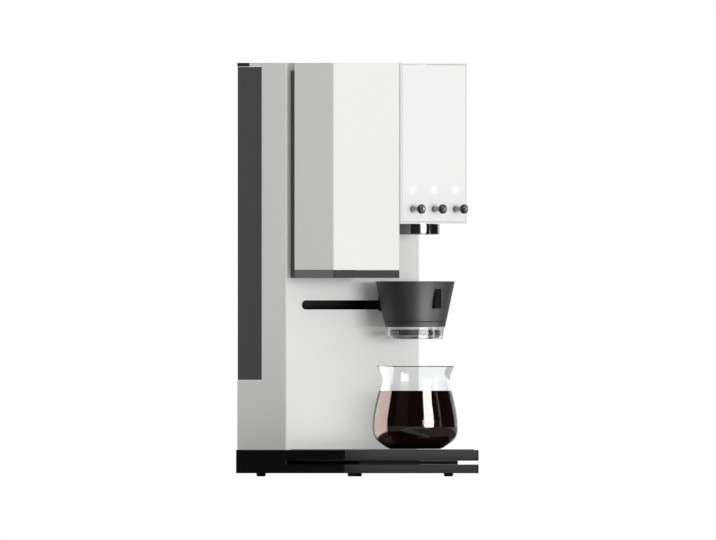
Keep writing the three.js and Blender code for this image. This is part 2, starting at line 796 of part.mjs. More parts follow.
// Carriage block: it wraps the rail behind the wall, and its arm reaches out through the slot.
function carriageBlock() {
  const wallBack = wallY + column.wall + seatGap;
  const y0 = wallBack + slot.linerDepth + runGap;
  const railY = wallBack + rail.setback;
  const body = block(
    [-carriage.blockWidth / 2, y0, slotMidZ - carriage.blockHeight / 2],
    [carriage.blockWidth / 2, y0 + carriage.blockDepth, slotMidZ + carriage.blockHeight / 2],
  );
  const arm = block(
    [-carriage.armWidth / 2, wallY - seatGap, slotMidZ - carriage.armHeight / 2],
    [carriage.armWidth / 2, y0 + overrun, slotMidZ + carriage.armHeight / 2],
  );
  const way = block(
    [-carriage.blockWidth, railY - runGap, slotMidZ - rail.height / 2 - runGap],
    [carriage.blockWidth, railY + rail.depth + runGap, slotMidZ + rail.height / 2 + runGap],
  );
  const place = [stationX, 0, 0];
  return meshOf("carriage_block", cut(join(body, arm), way), blackPlastic, place);
}

// Carriage head: the grip between the wall and the filter holder's rear pad.
function carriageHead() {
  const y0 = dripperRearY + seatGap;
  const solid = block(
    [-carriage.width / 2, y0, carriage.bottom],
    [carriage.width / 2, wallY - 2 * seatGap, carriage.bottom + carriage.height],
  );
  return meshOf("carriage_head", solid, blackPlastic, [stationX, 0, 0]);
}

// Radius of the cone's outside at a height.
function coneRadius(z) {
  const share = (z - dripper.bottom) / (dripper.top - dripper.bottom);
  return dripper.bottomRadius + share * (dripper.topRadius - dripper.bottomRadius);
}

function dripperCone() {
  const grooveZ = dripper.bottom + dripper.grooveHeight;
  const groove = dripper.grooveDepth;
  const profile = [
    [dripper.bottomRadius - dripper.wall, dripper.bottom],
    [dripper.bottomRadius, dripper.bottom],
    [coneRadius(grooveZ - groove), grooveZ - groove],
    [coneRadius(grooveZ) - groove, grooveZ],
    [coneRadius(grooveZ + groove), grooveZ + groove],
    [dripper.topRadius, dripper.top],
    [dripper.topRadius - dripper.wall, dripper.top],
    [dripper.bottomRadius - dripper.wall, dripper.bottom],
  ];
  const cone = turned(profile, largeSides);
  const core = coneCore(dripper.wall / 2 + seatGap);
  const seats = [-1, 1].map((side) => cut(padBox(side, seatGap), core));
  const place = [stationX, brewY, 0];
  return meshOf("dripper_cone", cut(cone, ...seats), darkCone, place);
}

// A pad stands upright on the sloping cone, flush at its top and proud at its foot.
function padBox(side, grow) {
  const inner = coneRadius(pad.bottom) - dripper.wall / 2;
  const outer = pad.reach + (grow > 0 ? dripper.wall : 0);
  const near = side > 0 ? inner - grow : -outer;
  const far = side > 0 ? outer : grow - inner;
  return block(
    [-pad.width / 2 - grow, near, pad.bottom - grow],
    [pad.width / 2 + grow, far, pad.bottom + pad.height + grow],
  );
}

// The cone's body out to a depth below its outer face.
function coneCore(depth) {
  const profile = [
    [0, dripper.bottom],
    [dripper.bottomRadius - depth, dripper.bottom],
    [dripper.topRadius - depth, dripper.top],
    [0, dripper.top],
  ];
  return turned(profile, largeSides);
}

function dripperPad(name, side) {
  const place = [stationX, brewY, 0];
  return meshOf(name, cut(padBox(side, 0), coneCore(dripper.wall / 2)), blackPlastic, place);
}

// Clear collar under the cone, with a ledge that its drain plate rests on.
function dripperCollar() {
  const top = dripper.bottom - seatGap;
  const bottom = dripper.bottom - collar.height;
  const ledge = collar.bottomRadius - 2 * collar.wall;
  const profile = [
    [ledge, bottom],
    [collar.bottomRadius, bottom],
    [collar.topRadius, top],
    [collar.topRadius - collar.wall, top],
    [collar.bottomRadius - collar.wall, drain.bottom - seatGap],
    [ledge, drain.bottom - seatGap],
    [ledge, bottom],
  ];
  const place = [stationX, brewY, 0];
  return meshOf("dripper_collar", turned(profile, largeSides), clearPlastic, place);
}

function drainPlate() {
  const radius = collar.bottomRadius - collar.wall - seatGap;
  const disc = bar("z", [0, 0, 0], drain.thickness, radius, largeSides);
  const dish = turned(
    [
      [0, drain.thickness / 2],
      [radius - collar.wall, drain.thickness + seatGap],
      [0, drain.thickness + seatGap],
    ],
    largeSides,
  );
  const hole = bar("z", [0, 0, -overrun], drain.thickness + 2 * overrun, drain.holeRadius);
  const place = [stationX, brewY, drain.bottom];
  return meshOf("dripper_drain_plate", cut(disc, dish, hole), blackPlastic, place);
}

// Carafe: thin glass turned from the outline shares, with a pouring lip drawn out at its rim.
function carafeGlass() {
  const outside = carafeOutlineShares.map(([r, z]) => [r * carafe.radius, z * carafe.height]);
  const inside = outside
    .filter(([, z]) => z > carafe.floor)
    .map(([r, z]) => [r - carafe.wall, z])
    .reverse();
  const floorRadius = outside[1][0];
  const profile = [...outside, ...inside, [floorRadius, carafe.floor], [0, carafe.floor]];
  const rim = outside[outside.length - 1][0];
  const spout = new THREE.Shape();
  spout.moveTo(rim - carafe.wall, -lip.width / 2);
  spout.lineTo(rim + lip.reach, 0);
  spout.lineTo(rim - carafe.wall, lip.width / 2);
  const tip = raised(spout, carafe.height - carafe.wall, carafe.height, cornerSteps);
  tip.rotateZ(THREE.MathUtils.degToRad(lip.turnDegrees));
  const mouth = bar("z", [0, 0, 0], carafe.height + overrun, rim - carafe.wall, largeSides);
  const glass = join(turned(profile, largeSides), cut(tip, mouth));
  const place = [stationX, brewY, platformTop + seatGap];
  return meshOf("carafe_glass", glass, glassLook, place);
}

// Middle of the hopper lid, and where the works stack up under it.
const lidBottom = column.top - hopperCover.thickness;
const flangeTop = lidBottom - seatGap;
const housingTop = ringBurr.top - ringBurr.height - seatGap;
const housingBottom = housingTop - housing.height;
const upperShelfTop = housingBottom - seatGap;
const lowerShelfTop = upperShelfTop - frame.thickness - frame.gearRoom;
const motorTop = lowerShelfTop - frame.thickness - seatGap;
const gearDistance = (gear.module * (gear.wheelTeeth + gear.pinionTeeth)) / 2;
// The burrs stand where the motor at their left and the hopper lid at their right have even room.
const worksLeftX = blocks.wall - columnHalf + motor.radius + gearDistance;
const worksRightX = grinderRightX - blocks.wall - hopperCover.width / 2;
const grinderX = (worksLeftX + worksRightX) / 2;
const motorX = grinderX - gearDistance;
const chuteX = grinderX + grinder.chuteReach;
const hopperMargin = hopper.margin + seatGap;

// Grinder cover: a shell open at its foot and rear, with the lid's opening in its top.
function grinderCover() {
  const outer = roundedBlock(
    [-columnHalf, blockFrontY, bandTop],
    [grinderRightX, blockRearY, column.top],
    blocks.corner,
  );
  const room = block(
    [blocks.wall - columnHalf, blockFrontY + blocks.wall, bandTop - overrun],
    [grinderRightX - blocks.wall, blockRearY + overrun, column.top - blocks.wall],
  );
  const x = hopperCover.width / 2 + seatGap;
  const y = hopperCover.depth / 2 + seatGap;
  const opening = block(
    [grinderX - x, grinderY - y, lidBottom - overrun],
    [grinderX + x, grinderY + y, column.top + overrun],
  );
  return meshOf("grinder_cover", cut(outer, room, opening), whiteShell);
}

// Bottom band: a shallow dark tray with the chute's outlet in its floor.
function grinderBand() {
  const top = bandTop - seatGap;
  const outer = roundedBlock(
    [-columnHalf, blockFrontY, grinderBlock.bottom],
    [grinderRightX, blockRearY, top],
    blocks.corner,
  );
  const room = block(
    [blocks.wall - columnHalf, blockFrontY + blocks.wall, grinderBlock.bottom + grinderBlock.bandFloor],
    [grinderRightX - blocks.wall, blockRearY - blocks.wall, top + overrun],
  );
  const outlet = bar(
    "z",
    [-stationX, brewY, grinderBlock.bottom - overrun],
    grinderBlock.band + 2 * overrun,
    chute.radius + seatGap,
    middleSides,
  );
  return meshOf("grinder_band", cut(outer, room, outlet), greyTrim);
}

function hopperLid() {
  const x = hopperCover.width / 2;
  const y = hopperCover.depth / 2;
  const lid = block([-x, -y, lidBottom], [x, y, column.top]);
  return meshOf("hopper_lid", lid, whiteShell, [grinderX, grinderY, 0]);
}

// Hopper: a round funnel under a flange that the lid closes on.
function hopperFunnel() {
  const x = hopperCover.width / 2 + hopperMargin;
  const y = hopperCover.depth / 2 + hopperMargin;
  const flange = block([-x, -y, flangeTop - hopper.flange], [x, y, flangeTop]);
  const bottom = ringBurr.top + seatGap;
  const outside = turned(
    [
      [0, bottom],
      [hopper.throat + hopper.wall, bottom],
      [hopper.radius, flangeTop - hopper.flange / 2],
      [0, flangeTop - hopper.flange / 2],
    ],
    middleSides,
  );
  const inside = turned(
    [
      [0, bottom - overrun],
      [hopper.throat, bottom - overrun],
      [hopper.throat, bottom],
      [hopper.radius - hopper.wall, flangeTop],
      [hopper.radius - hopper.wall, flangeTop + overrun],
      [0, flangeTop + overrun],
    ],
    middleSides,
  );
  const place = [grinderX, grinderY, 0];
  return meshOf("hopper_funnel", cut(join(flange, outside), inside), clearPlastic, place);
}

function ringBurrPiece() {
  const bottom = ringBurr.top - ringBurr.height;
  const profile = [
    [ringBurr.bore, bottom],
    [ringBurr.radius, bottom],
    [ringBurr.radius, ringBurr.top],
    [ringBurr.topBore, ringBurr.top],
    [ringBurr.bore, bottom],
  ];
  return meshOf("ring_burr", turned(profile, middleSides), steelLook, [grinderX, grinderY, 0]);
}

// Burr housing: a cup with a box at its side, which drops the grounds into the chute.
function burrHousing() {
  const cup = bar("z", [0, 0, housingBottom], housing.height, housing.radius, middleSides);
  const box = block(
    [0, -housing.boxWidth / 2, housingBottom],
    [housing.boxReach, housing.boxWidth / 2, housingBottom + housing.boxHeight],
  );
  const floorTop = housingBottom + housing.floor;
  const cupRoom = bar("z", [0, 0, floorTop], housing.height, housing.radius - housing.wall, middleSides);
  const boxRoom = block(
    [0, housing.floor - housing.boxWidth / 2, floorTop],
    [
      housing.boxReach - housing.floor,
      housing.boxWidth / 2 - housing.floor,
      housingBottom + housing.boxHeight - housing.floor,
    ],
  );
  const drop = bar(
    "z",
    [chuteX - grinderX, 0, housingBottom - overrun],
    housing.floor + 2 * overrun,
    chute.radius - chute.wall,
    chute.sides,
  );
  const bearing = bar(
    "z",
    [0, 0, housingBottom - overrun],
    housing.floor + 2 * overrun,
    coneBurr.shaftRadius + runGap,
  );
  const solid = cut(join(cup, box), cupRoom, boxRoom, drop, bearing);
  return meshOf("burr_housing", solid, greyTrim, [grinderX, grinderY, 0]);
}

// Outline of a gear whose first tooth points along an angle.
function gearOutline(teeth, turn) {
  const pitchRadius = (gear.module * teeth) / 2;
  const pitchAngle = (Math.PI * 2) / teeth;
  const flanks = [
    [pitchRadius - toothShares.depth * gear.module, -toothShares.root],
    [pitchRadius, -toothShares.pitch],
    [pitchRadius + gear.module, -toothShares.tip],
    [pitchRadius + gear.module, toothShares.tip],
    [pitchRadius, toothShares.pitch],
    [pitchRadius - toothShares.depth * gear.module, toothShares.root],
  ];
  const points = [];
  for (let tooth = 0; tooth < teeth; tooth++) {
    for (const [radius, share] of flanks) {
      const angle = turn + (tooth + share) * pitchAngle;
      points.push(new THREE.Vector2(radius * Math.cos(angle), radius * Math.sin(angle)));
    }
  }
  return new THREE.Shape(points);
}

function gearZ() {
  const bottom = lowerShelfTop + (frame.gearRoom - gear.face) / 2;
  return [bottom, bottom + gear.face];
}

// Cone burr with its flutes, on one shaft with the driven gear.
function coneBurrPiece() {
  const bottom = ringBurr.top - ringBurr.height - coneBurr.height / 2;
  const cone = turned(
    [
      [0, bottom],
      [coneBurr.radius, bottom],
      [coneBurr.radius, bottom + coneBurr.rise],
      [coneBurr.topRadius, bottom + coneBurr.height],
      [0, bottom + coneBurr.height],
    ],
    middleSides,
  );
  const slope = Math.atan2(coneBurr.radius - coneBurr.topRadius, coneBurr.height - coneBurr.rise);
  const flutes = [];
  for (let i = 0; i < flute.count; i++) {
    const groove = bar("z", [0, 0, -overrun], coneBurr.height * 2, flute.radius, flute.sides);
    groove.rotateY(-slope);
    groove.translate(coneBurr.radius, 0, bottom + coneBurr.rise);
    flutes.push(groove.rotateZ((i * Math.PI * 2) / flute.count));
  }
  const shaftBottom = lowerShelfTop - frame.thickness / 2;
  const shaft = bar("z", [0, 0, shaftBottom], bottom + overrun - shaftBottom, coneBurr.shaftRadius);
  const wheel = raised(gearOutline(gear.wheelTeeth, 0), ...gearZ(), 1);
  const solid = join(cut(cone, ...flutes), shaft, wheel);
  return meshOf("cone_burr", solid, steelLook, [grinderX, grinderY, 0]);
}

// Pinion on the motor's shaft. A gap between its teeth faces the wheel.
function motorPinion() {
  const [bottom, top] = gearZ();
  const turn = Math.PI / gear.pinionTeeth;
  const teeth = raised(gearOutline(gear.pinionTeeth, turn), bottom, top, 1);
  const shaftBottom = motorTop - motor.shaftDepth;
  const shaft = bar("z", [0, 0, shaftBottom], top - shaftBottom, motor.shaftRadius);
  return meshOf("motor_pinion", join(teeth, shaft), steelLook, [motorX, grinderY, 0]);
}

function grinderMotor() {
  const body = bar("z", [0, 0, motorTop - motor.height], motor.height, motor.radius, middleSides);
  const bore = bar(
    "z",
    [0, 0, motorTop - motor.shaftDepth - runGap],
    motor.shaftDepth + runGap + overrun,
    motor.shaftRadius + runGap,
  );
  return meshOf("grinder_motor", cut(body, bore), steelLook, [motorX, grinderY, 0]);
}

// Frame: a back plate fixed to the neck, with a shelf for the housing and one for the motor.
function grinderFrame() {
  const x0 = blocks.wall + seatGap - columnHalf;
  const x1 = grinderRightX - blocks.wall - seatGap;
  const backY = blockRearY - seatGap;
  const back = block([x0, backY - frame.thickness, frame.bottom], [x1, backY, ringBurr.top]);
  const shelfTops = [upperShelfTop, lowerShelfTop];
  const shelves = shelfTops.map((top) =>
    block([x0, grinderY - ringBurr.radius, top - frame.thickness], [x1, backY, top]),
  );
  const depth = upperShelfTop - lowerShelfTop + frame.thickness + 2 * overrun;
  const low = lowerShelfTop - frame.thickness - overrun;
  const shaftHole = bar("z", [grinderX, grinderY, low], depth, coneBurr.shaftRadius + runGap);
  const pinionHole = bar(
    "z",
    [motorX, grinderY, low],
    frame.thickness + 2 * overrun,
    motor.shaftRadius + runGap,
  );
  const chuteHole = bar(
    "z",
    [chuteX, grinderY, low],
    depth,
    chute.radius + seatGap,
    chute.sides,
  );
  const wireHole = block(
    [-stationX - neck.passWidth / 2, backY - frame.thickness - overrun, neck.passBottom],
    [-stationX + neck.passWidth / 2, backY + overrun, ringBurr.top - 2 * frame.thickness],
  );
  const solid = cut(join(back, ...shelves), shaftHole, pinionHole, chuteHole, wireHole);
  return meshOf("grinder_frame", solid, steelLook);
}

// A round tube with its own wall along a list of points.
function tubeAlong(points, radius, wall, sides, steps) {
  const section = new THREE.Shape();
  section.absarc(0, 0, radius, 0, Math.PI * 2);
  const hole = new THREE.Path();
  hole.absarc(0, 0, radius - wall, 0, Math.PI * 2, true);
  section.holes.push(hole);
  const route = new THREE.CatmullRomCurve3(points.map((point) => new THREE.Vector3(...point)));
  const options = { steps, curveSegments: sides, extrudePath: route, bevelEnabled: false };
  return new THREE.ExtrudeGeometry(section, options);
}

function groundsChute() {
  const midX = (chuteX - stationX) / 2;
  const midY = (grinderY + brewY) / 2;
  const points = [
    [chuteX, grinderY, upperShelfTop],
    [chuteX, grinderY, (upperShelfTop + chute.elbowTop) / 2],
    [chuteX, grinderY, chute.elbowTop],
    [midX, midY, (chute.elbowTop + chute.elbowBottom) / 2],
    [-stationX, brewY, chute.elbowBottom],
    [-stationX, brewY, grinderBlock.bottom + seatGap],
  ];
  const tube = tubeAlong(points, chute.radius, chute.wall, chute.sides, chute.steps);
  return meshOf("grounds_chute", tube, blackPlastic);
}

// Heater: an upright boiler held to the bulkhead by a bracket, with a barb for the hose on top.
function heaterBlock() {
  const body = bar("z", [0, 0, 0], heater.height, heater.radius, middleSides);
  const half = heater.bracket / 2;
  const backY = tankFrontY - 2 * seatGap - column.wall - heaterY;
  const bracket = block([-half, 0, heater.height / 2 - half], [half, backY, heater.height / 2 + half]);
  const barb = bar("z", [0, 0, heater.height - overrun], heater.barb + overrun, hose.radius);
  const place = [heater.x, heaterY, heater.bottom];
  return meshOf("heater_block", join(body, bracket, barb), steelLook, place);
}

// Pump: it stands on the base's floor and draws through a port at its side.
function waterPump() {
  const body = bar("z", [0, 0, 0], pump.height, pump.radius, middleSides);
  const port = bar("x", [0, 0, pump.height / 2], pump.radius + pump.portLength, pump.portRadius);
  const place = [pump.x, pumpY, foot.height + base.wall + seatGap];
  return meshOf("water_pump", join(body, port), blackPlastic, place);
}

// Hose from the boiler through the neck to the top of the shower housing.
function spoutHose() {
  const start = heater.bottom + heater.height + heater.barb + seatGap;
  const endZ = head.bottom + head.floor + shower.flange + seatGap;
  const endY = brewY + (spoutMotor.flangeRadius + shower.radius) / 2;
  const points = [
    [heater.x, heaterY, start],
    [heater.x, heaterY, start + hose.bend],
    [heater.x, heaterY - hose.bend, start + 2 * hose.bend],
    [stationX, wallY, start + hose.bend],
    [stationX, endY + hose.bend, start - 2 * hose.bend],
    [stationX, endY, (start + endZ) / 2],
    [stationX, endY, endZ],
  ];
  const tube = tubeAlong(points, hose.radius, hose.wall, hose.sides, hose.steps);
  return meshOf("spout_hose", tube, clearPlastic);
}

// Power board: it stands on the base's floor in front of the inlet, with tall parts on its face.
function powerBoard() {
  const backY = columnRearY - inlet.depth - board.setback;
  const bottom = foot.height + base.wall + seatGap;
  const half = board.width / 2;
  const plate = block([-half, backY - board.thickness, bottom], [half, backY, bottom + board.height]);
  const near = backY - board.thickness - boardPart.reach;
  const parts = [-1, 0, 1].map((side) => {
    const left = side * boardPart.pitch - boardPart.size / 2;
    const low = bottom + boardPart.size;
    const high = low + boardPart.rise + side * boardPart.step;
    return block([left, near, low], [left + boardPart.size, backY - board.thickness / 2, high]);
  });
  return meshOf("power_board", join(plate, ...parts), boardGreen, [board.x, 0, 0]);
}

// Power inlet: a recessed socket with three pins, flanged over the rear cover.
function powerInlet() {
  const { x0, x1, z0, z1 } = inletHoleBox();
  const face = columnRearY + seatGap;
  const front = columnRearY - inlet.depth;
  const body = block([x0 + seatGap, front, z0 + seatGap], [x1 - seatGap, face, z1 - seatGap]);
  const flange = block(
    [x0 - inlet.flangeReach, face, z0 - inlet.flangeReach],
    [x1 + inlet.flangeReach, rearY - seatGap / 2, z1 + inlet.flangeReach],
  );
  const recess = block(
    [x0 + inlet.wall, front + inlet.wall, z0 + inlet.wall],
    [x1 - inlet.wall, rearY + overrun, z1 - inlet.wall],
  );
  const pins = [-1, 0, 1].map((side) =>
    bar(
      "y",
      [
        inletPlace.x + side * inletPlace.pinSpread,
        front + inlet.wall / 2,
        (z0 + z1) / 2 + (side === 0 ? inlet.pinRadius : -inlet.pinRadius),
      ],
      inlet.pinLength,
      inlet.pinRadius,
    ),
  );
  return meshOf("power_inlet", join(cut(join(body, flange), recess), ...pins), blackPlastic);
}

// Power rocker: it tips about a pin across its middle.
function powerRocker() {
  const halfX = rocker.width / 2 - runGap;
  const halfZ = rocker.height / 2 - 2 * runGap;
  const outline = new THREE.Shape();
  outline.moveTo(-rocker.depth, -halfZ / 2);
  outline.lineTo(0, -halfZ);
  outline.lineTo(rocker.rise / 2, 0);
  outline.lineTo(0, halfZ);
  outline.lineTo(-rocker.depth, halfZ / 2);
  const solid = raised(outline, -halfX, halfX, 1);
  // The outline's X runs out of the cover and its Y runs up, so it is turned to stand in that plane.
  solid.applyMatrix4(
    new THREE.Matrix4().makeBasis(
      new THREE.Vector3(0, 1, 0),
      new THREE.Vector3(0, 0, 1),
      new THREE.Vector3(1, 0, 0),
    ),
  );
  const place = [rocker.x, columnRearY, inletPlace.bottom + rocker.height / 2];
  return meshOf("power_rocker", solid, blackPlastic, place);
}

const xs = dialXs();
const machine = new THREE.Group().add(
  groupOf(baseChassis(), ...feet(), loadCellBar(), pedestalPlate()),
  groupOf(dripPlatform(), dripGrille()),
  groupOf(columnShell(), bulkhead(), rearLowerCover(), slotLiner(), tankSocketPiece()),
  groupOf(waterTank(), tankValve(), tankLid()),
  groupOf(
    neckFrame("grinder_neck", neckLeftX, grinderRightX - neck.inset, grinderBlock.bottom),
    neckFrame("head_neck", headLeftX + neck.inset, -neckLeftX, head.bottom + neck.inset),
  ),
  groupOf(grinderCover(), grinderBand(), hopperLid(), hopperFunnel(), ringBurrPiece(), burrHousing()),
  groupOf(coneBurrPiece(), motorPinion(), grinderMotor(), grinderFrame(), groundsChute()),
  groupOf(headShell(), headPanel(), displayLens(), dialBoardPiece()),
  groupOf(...Object.keys(xs).map((side) => dialPiece("dial_" + side, xs[side]))),
  groupOf(...Object.keys(xs).map((side) => spindlePiece("spindle_" + side, xs[side]))),
  groupOf(showerHousing(), spoutTurret(), spoutMotorPiece(), spoutHose()),
  groupOf(carriageRail(), carriageBlock(), carriageHead()),
  groupOf(dripperCone(), dripperPad("dripper_front_pad", -1), dripperPad("dripper_rear_pad", 1)),
  groupOf(dripperCollar(), drainPlate(), carafeGlass()),
  groupOf(heaterBlock(), waterPump(), powerBoard(), powerInlet(), powerRocker()),
);

export default machine;
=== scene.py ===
import math

import bmesh
import bpy
from mathutils import Matrix, Vector


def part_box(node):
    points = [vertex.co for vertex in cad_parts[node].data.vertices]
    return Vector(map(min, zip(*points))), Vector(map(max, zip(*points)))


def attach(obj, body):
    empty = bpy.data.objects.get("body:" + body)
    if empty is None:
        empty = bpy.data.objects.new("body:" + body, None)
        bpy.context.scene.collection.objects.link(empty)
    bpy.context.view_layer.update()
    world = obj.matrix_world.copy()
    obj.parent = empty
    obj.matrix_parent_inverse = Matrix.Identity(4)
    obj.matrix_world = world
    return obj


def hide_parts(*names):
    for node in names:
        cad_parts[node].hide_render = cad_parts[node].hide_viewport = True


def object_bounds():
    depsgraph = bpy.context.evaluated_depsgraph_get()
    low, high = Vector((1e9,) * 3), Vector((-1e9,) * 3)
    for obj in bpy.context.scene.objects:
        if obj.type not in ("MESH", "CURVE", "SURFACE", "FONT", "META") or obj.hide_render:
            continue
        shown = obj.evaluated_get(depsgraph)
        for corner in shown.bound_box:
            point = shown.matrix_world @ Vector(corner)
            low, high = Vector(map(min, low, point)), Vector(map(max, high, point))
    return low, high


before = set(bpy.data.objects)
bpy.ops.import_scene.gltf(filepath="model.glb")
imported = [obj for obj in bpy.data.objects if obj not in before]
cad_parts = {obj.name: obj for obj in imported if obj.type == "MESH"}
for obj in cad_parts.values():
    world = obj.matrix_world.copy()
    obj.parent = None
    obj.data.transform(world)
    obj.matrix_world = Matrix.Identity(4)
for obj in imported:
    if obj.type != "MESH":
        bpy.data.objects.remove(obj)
cad_low, cad_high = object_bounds()

# The camera looks level at the machine from its front left, without perspective.
# One pixel of the 716 by 540 picture is a little over a millimetre there.
VIEW_AZIMUTH = math.radians(-37)
PIXEL_SIZE = 0.0010725
PICTURE_WIDTH = 716
AIM_RIGHT = 0.0007
AIM_HEIGHT = 0.2214
CAMERA_DISTANCE = 3.0

right_way = Vector((math.cos(VIEW_AZIMUTH), math.sin(VIEW_AZIMUTH), 0))
view_back = Vector((math.sin(VIEW_AZIMUTH), -math.cos(VIEW_AZIMUTH), 0))
camera_data = bpy.data.cameras.new("camera")
camera_data.type = "ORTHO"
camera_data.ortho_scale = PICTURE_WIDTH * PIXEL_SIZE
camera = bpy.data.objects.new("camera", camera_data)
aim_point = right_way * AIM_RIGHT + Vector((0, 0, AIM_HEIGHT))
camera.location = aim_point + view_back * CAMERA_DISTANCE
camera.rotation_euler = (math.pi / 2, 0, VIEW_AZIMUTH)
bpy.context.scene.collection.objects.link(camera)
bpy.context.scene.camera = camera
bpy.context.scene.view_settings.view_transform = "Standard"

# The studio: a pale worktop that runs out of sight, one large soft lamp in front and a weak one
# from the left. Cards that only shiny faces mirror stand round it, dark ones and lit ones.
FLOOR_HALF = 4.0
FLOOR_WHITE = (0.86, 0.86, 0.86, 1)
FLOOR_ROUGHNESS = 0.6
AMBIENT_STRENGTH = 0.6
KEY_SIZE = (1.3, 0.5)
KEY_POWER = 26
KEY_PLACE = Vector((-0.05, -2.6, 0.29))
FILL_SIZE = (1.6, 1.6)
FILL_POWER = 1
FILL_PLACE = Vector((-2.4, -0.6, 0.9))
LAMP_AIM = Vector((0, 0, 0.2))
# Each card: its middle, width and height, turn about the upright, and whether it lies flat.
DARK_CARDS = {
    "card_rear_left": ((-1.52, 1.36, 0.7), (3.4, 2.2), -143, False),
    "card_camera": ((-2.65, -1.79, 1.6), (6.0, 5.0), -56, False),
    "card_right": ((1.835, -0.787, 0.6), (2.08, 2.0), 68, False),
    "card_front_right": ((0.94, -2.05, 0.6), (0.72, 2.0), 24, False),
    "card_ring": ((0.784, -0.989, 0.2525), (0.36, 0.035), 38, False),
    "card_low_right": ((0.38, -0.5, 0.002), (0.8, 1.0), 37, True),
    "card_low_left": ((-0.58, 0.76, 0.002), (1.7, 1.8), -143, True),
    "card_low_front": ((-0.6, -1.9, 0.002), (3.6, 2.2), -37, True),
}
CARD_TONE = (0.004, 0.004, 0.004, 1)
CARD_ROUGHNESS = 0.9
CARD_GREY = 0.02
# Each lit card has its strength, its colour, whether it is seen through glass, and whether it is
# seen in nothing but what lies behind glass and mirrors it.
# The two that lie flat hang over the floor in front of the filter holder, which mirrors them from
# above. A steeper look passes through them: the slant is 0 straight down and 1 along the card.
PLAIN_LIGHT = (1, 1, 1, 1)
ROSY_LIGHT = (1, 0.86, 0.82, 1)
STRIP_SLANT = 0.36
LIT_CARDS = {
    "strip_carafe": ((0.07, -0.95, 0.5), (0.44, 1.0), 0, False, 34, PLAIN_LIGHT, True, True),
    "strip_ring": ((0.09, -0.95, 0.249), (0.36, 0.044), 0, False, 16, PLAIN_LIGHT, False, False),
    "strip_cone": ((0.033, -0.267, 0.1), (0.155, 0.165), 0, True, 13, PLAIN_LIGHT, False, False),
    "strip_right": ((0.218, -0.235, 0.1), (0.065, 0.29), 42, True, 7, PLAIN_LIGHT, False, False),
    "wall_glow": ((-0.041, 0.0045, 0.075), (0.098, 0.09), 0, False, 15, ROSY_LIGHT, True, True),
}
# Two mats act on matt faces over them, at any slant, and not on what is under them: middle, width
# and depth, light.
ANY_SLANT = -1
MATS = {
    "mat_side": ((-0.142, 0.0, 0.004), (0.096, 0.23), 0.0),
    "mat_platform": ((-0.005, -0.066, 0.034), (0.17, 0.11), 0.7),
}


def plain_material(name, colour, roughness):
    material = bpy.data.materials.new(name)
    material.use_nodes = True
    shader = material.node_tree.nodes["Principled BSDF"]
    shader.inputs["Base Color"].default_value = colour
    shader.inputs["Roughness"].default_value = roughness
    return material


def soft_lamp(name, place, size, power):
    light = bpy.data.lights.new(name, "AREA")
    light.shape = "RECTANGLE"
    light.size, light.size_y = size
    light.energy = power
    lamp = bpy.data.objects.new(name, light)
    lamp.location = place
    lamp.rotation_euler = (LAMP_AIM - place).to_track_quat("-Z", "Y").to_euler()
    lamp.visible_glossy = False
    bpy.context.scene.collection.objects.link(lamp)


soft_lamp("key_lamp", KEY_PLACE, KEY_SIZE, KEY_POWER)
soft_lamp("fill_lamp", FILL_PLACE, FILL_SIZE, FILL_POWER)

world = bpy.data.worlds.new("studio")
bpy.context.scene.world = world
world.use_nodes = True
world_nodes = world.node_tree.nodes
world_links = world.node_tree.links
ray = world_nodes.new("ShaderNodeLightPath")
camera_or_gloss = world_nodes.new("ShaderNodeMath")
camera_or_gloss.operation = "MAXIMUM"
world_links.new(ray.outputs["Is Camera Ray"], camera_or_gloss.inputs[0])
world_links.new(ray.outputs["Is Glossy Ray"], camera_or_gloss.inputs[1])
seen_white = world_nodes.new("ShaderNodeMath")
seen_white.operation = "MAXIMUM"
world_links.new(camera_or_gloss.outputs[0], seen_white.inputs[0])
world_links.new(ray.outputs["Is Transmission Ray"], seen_white.inputs[1])
strength = world_nodes.new("ShaderNodeMapRange")
strength.inputs["To Min"].default_value = AMBIENT_STRENGTH
strength.inputs["To Max"].default_value = 1.0
world_links.new(seen_white.outputs[0], strength.inputs["Value"])
background = world_nodes["Background"]
background.inputs["Color"].default_value = (1, 1, 1, 1)
world_links.new(strength.outputs[0], background.inputs["Strength"])

floor_mesh = bmesh.new()
bmesh.ops.create_grid(floor_mesh, x_segments=2, y_segments=2, size=FLOOR_HALF)
floor_data = bpy.data.meshes.new("floor")
floor_mesh.to_mesh(floor_data)
floor_mesh.free()
floor = bpy.data.objects.new("floor", floor_data)
pale_floor = plain_material("pale_floor", FLOOR_WHITE, FLOOR_ROUGHNESS)
pale_floor.node_tree.nodes["Principled BSDF"].inputs["Specular IOR Level"].default_value = 0
floor_data.materials.append(pale_floor)
bpy.context.scene.collection.objects.link(floor)

card_black = plain_material("card_black", CARD_TONE, CARD_ROUGHNESS)
card_shader = card_black.node_tree.nodes["Principled BSDF"]
card_shader.inputs["Emission Color"].default_value = PLAIN_LIGHT
card_shader.inputs["Emission Strength"].default_value = CARD_GREY


def show_where(material, shown):
    """Shows the material where a value is 1, and lets all light by where it is 0."""
    nodes, links = material.node_tree.nodes, material.node_tree.links
    clear = nodes.new("ShaderNodeBsdfTransparent")
    either = nodes.new("ShaderNodeMixShader")
    links.new(shown, either.inputs["Fac"])
    links.new(clear.outputs["BSDF"], either.inputs[1])
    links.new(nodes["Principled BSDF"].outputs["BSDF"], either.inputs[2])
    links.new(either.outputs["Shader"], nodes["Material Output"].inputs["Surface"])


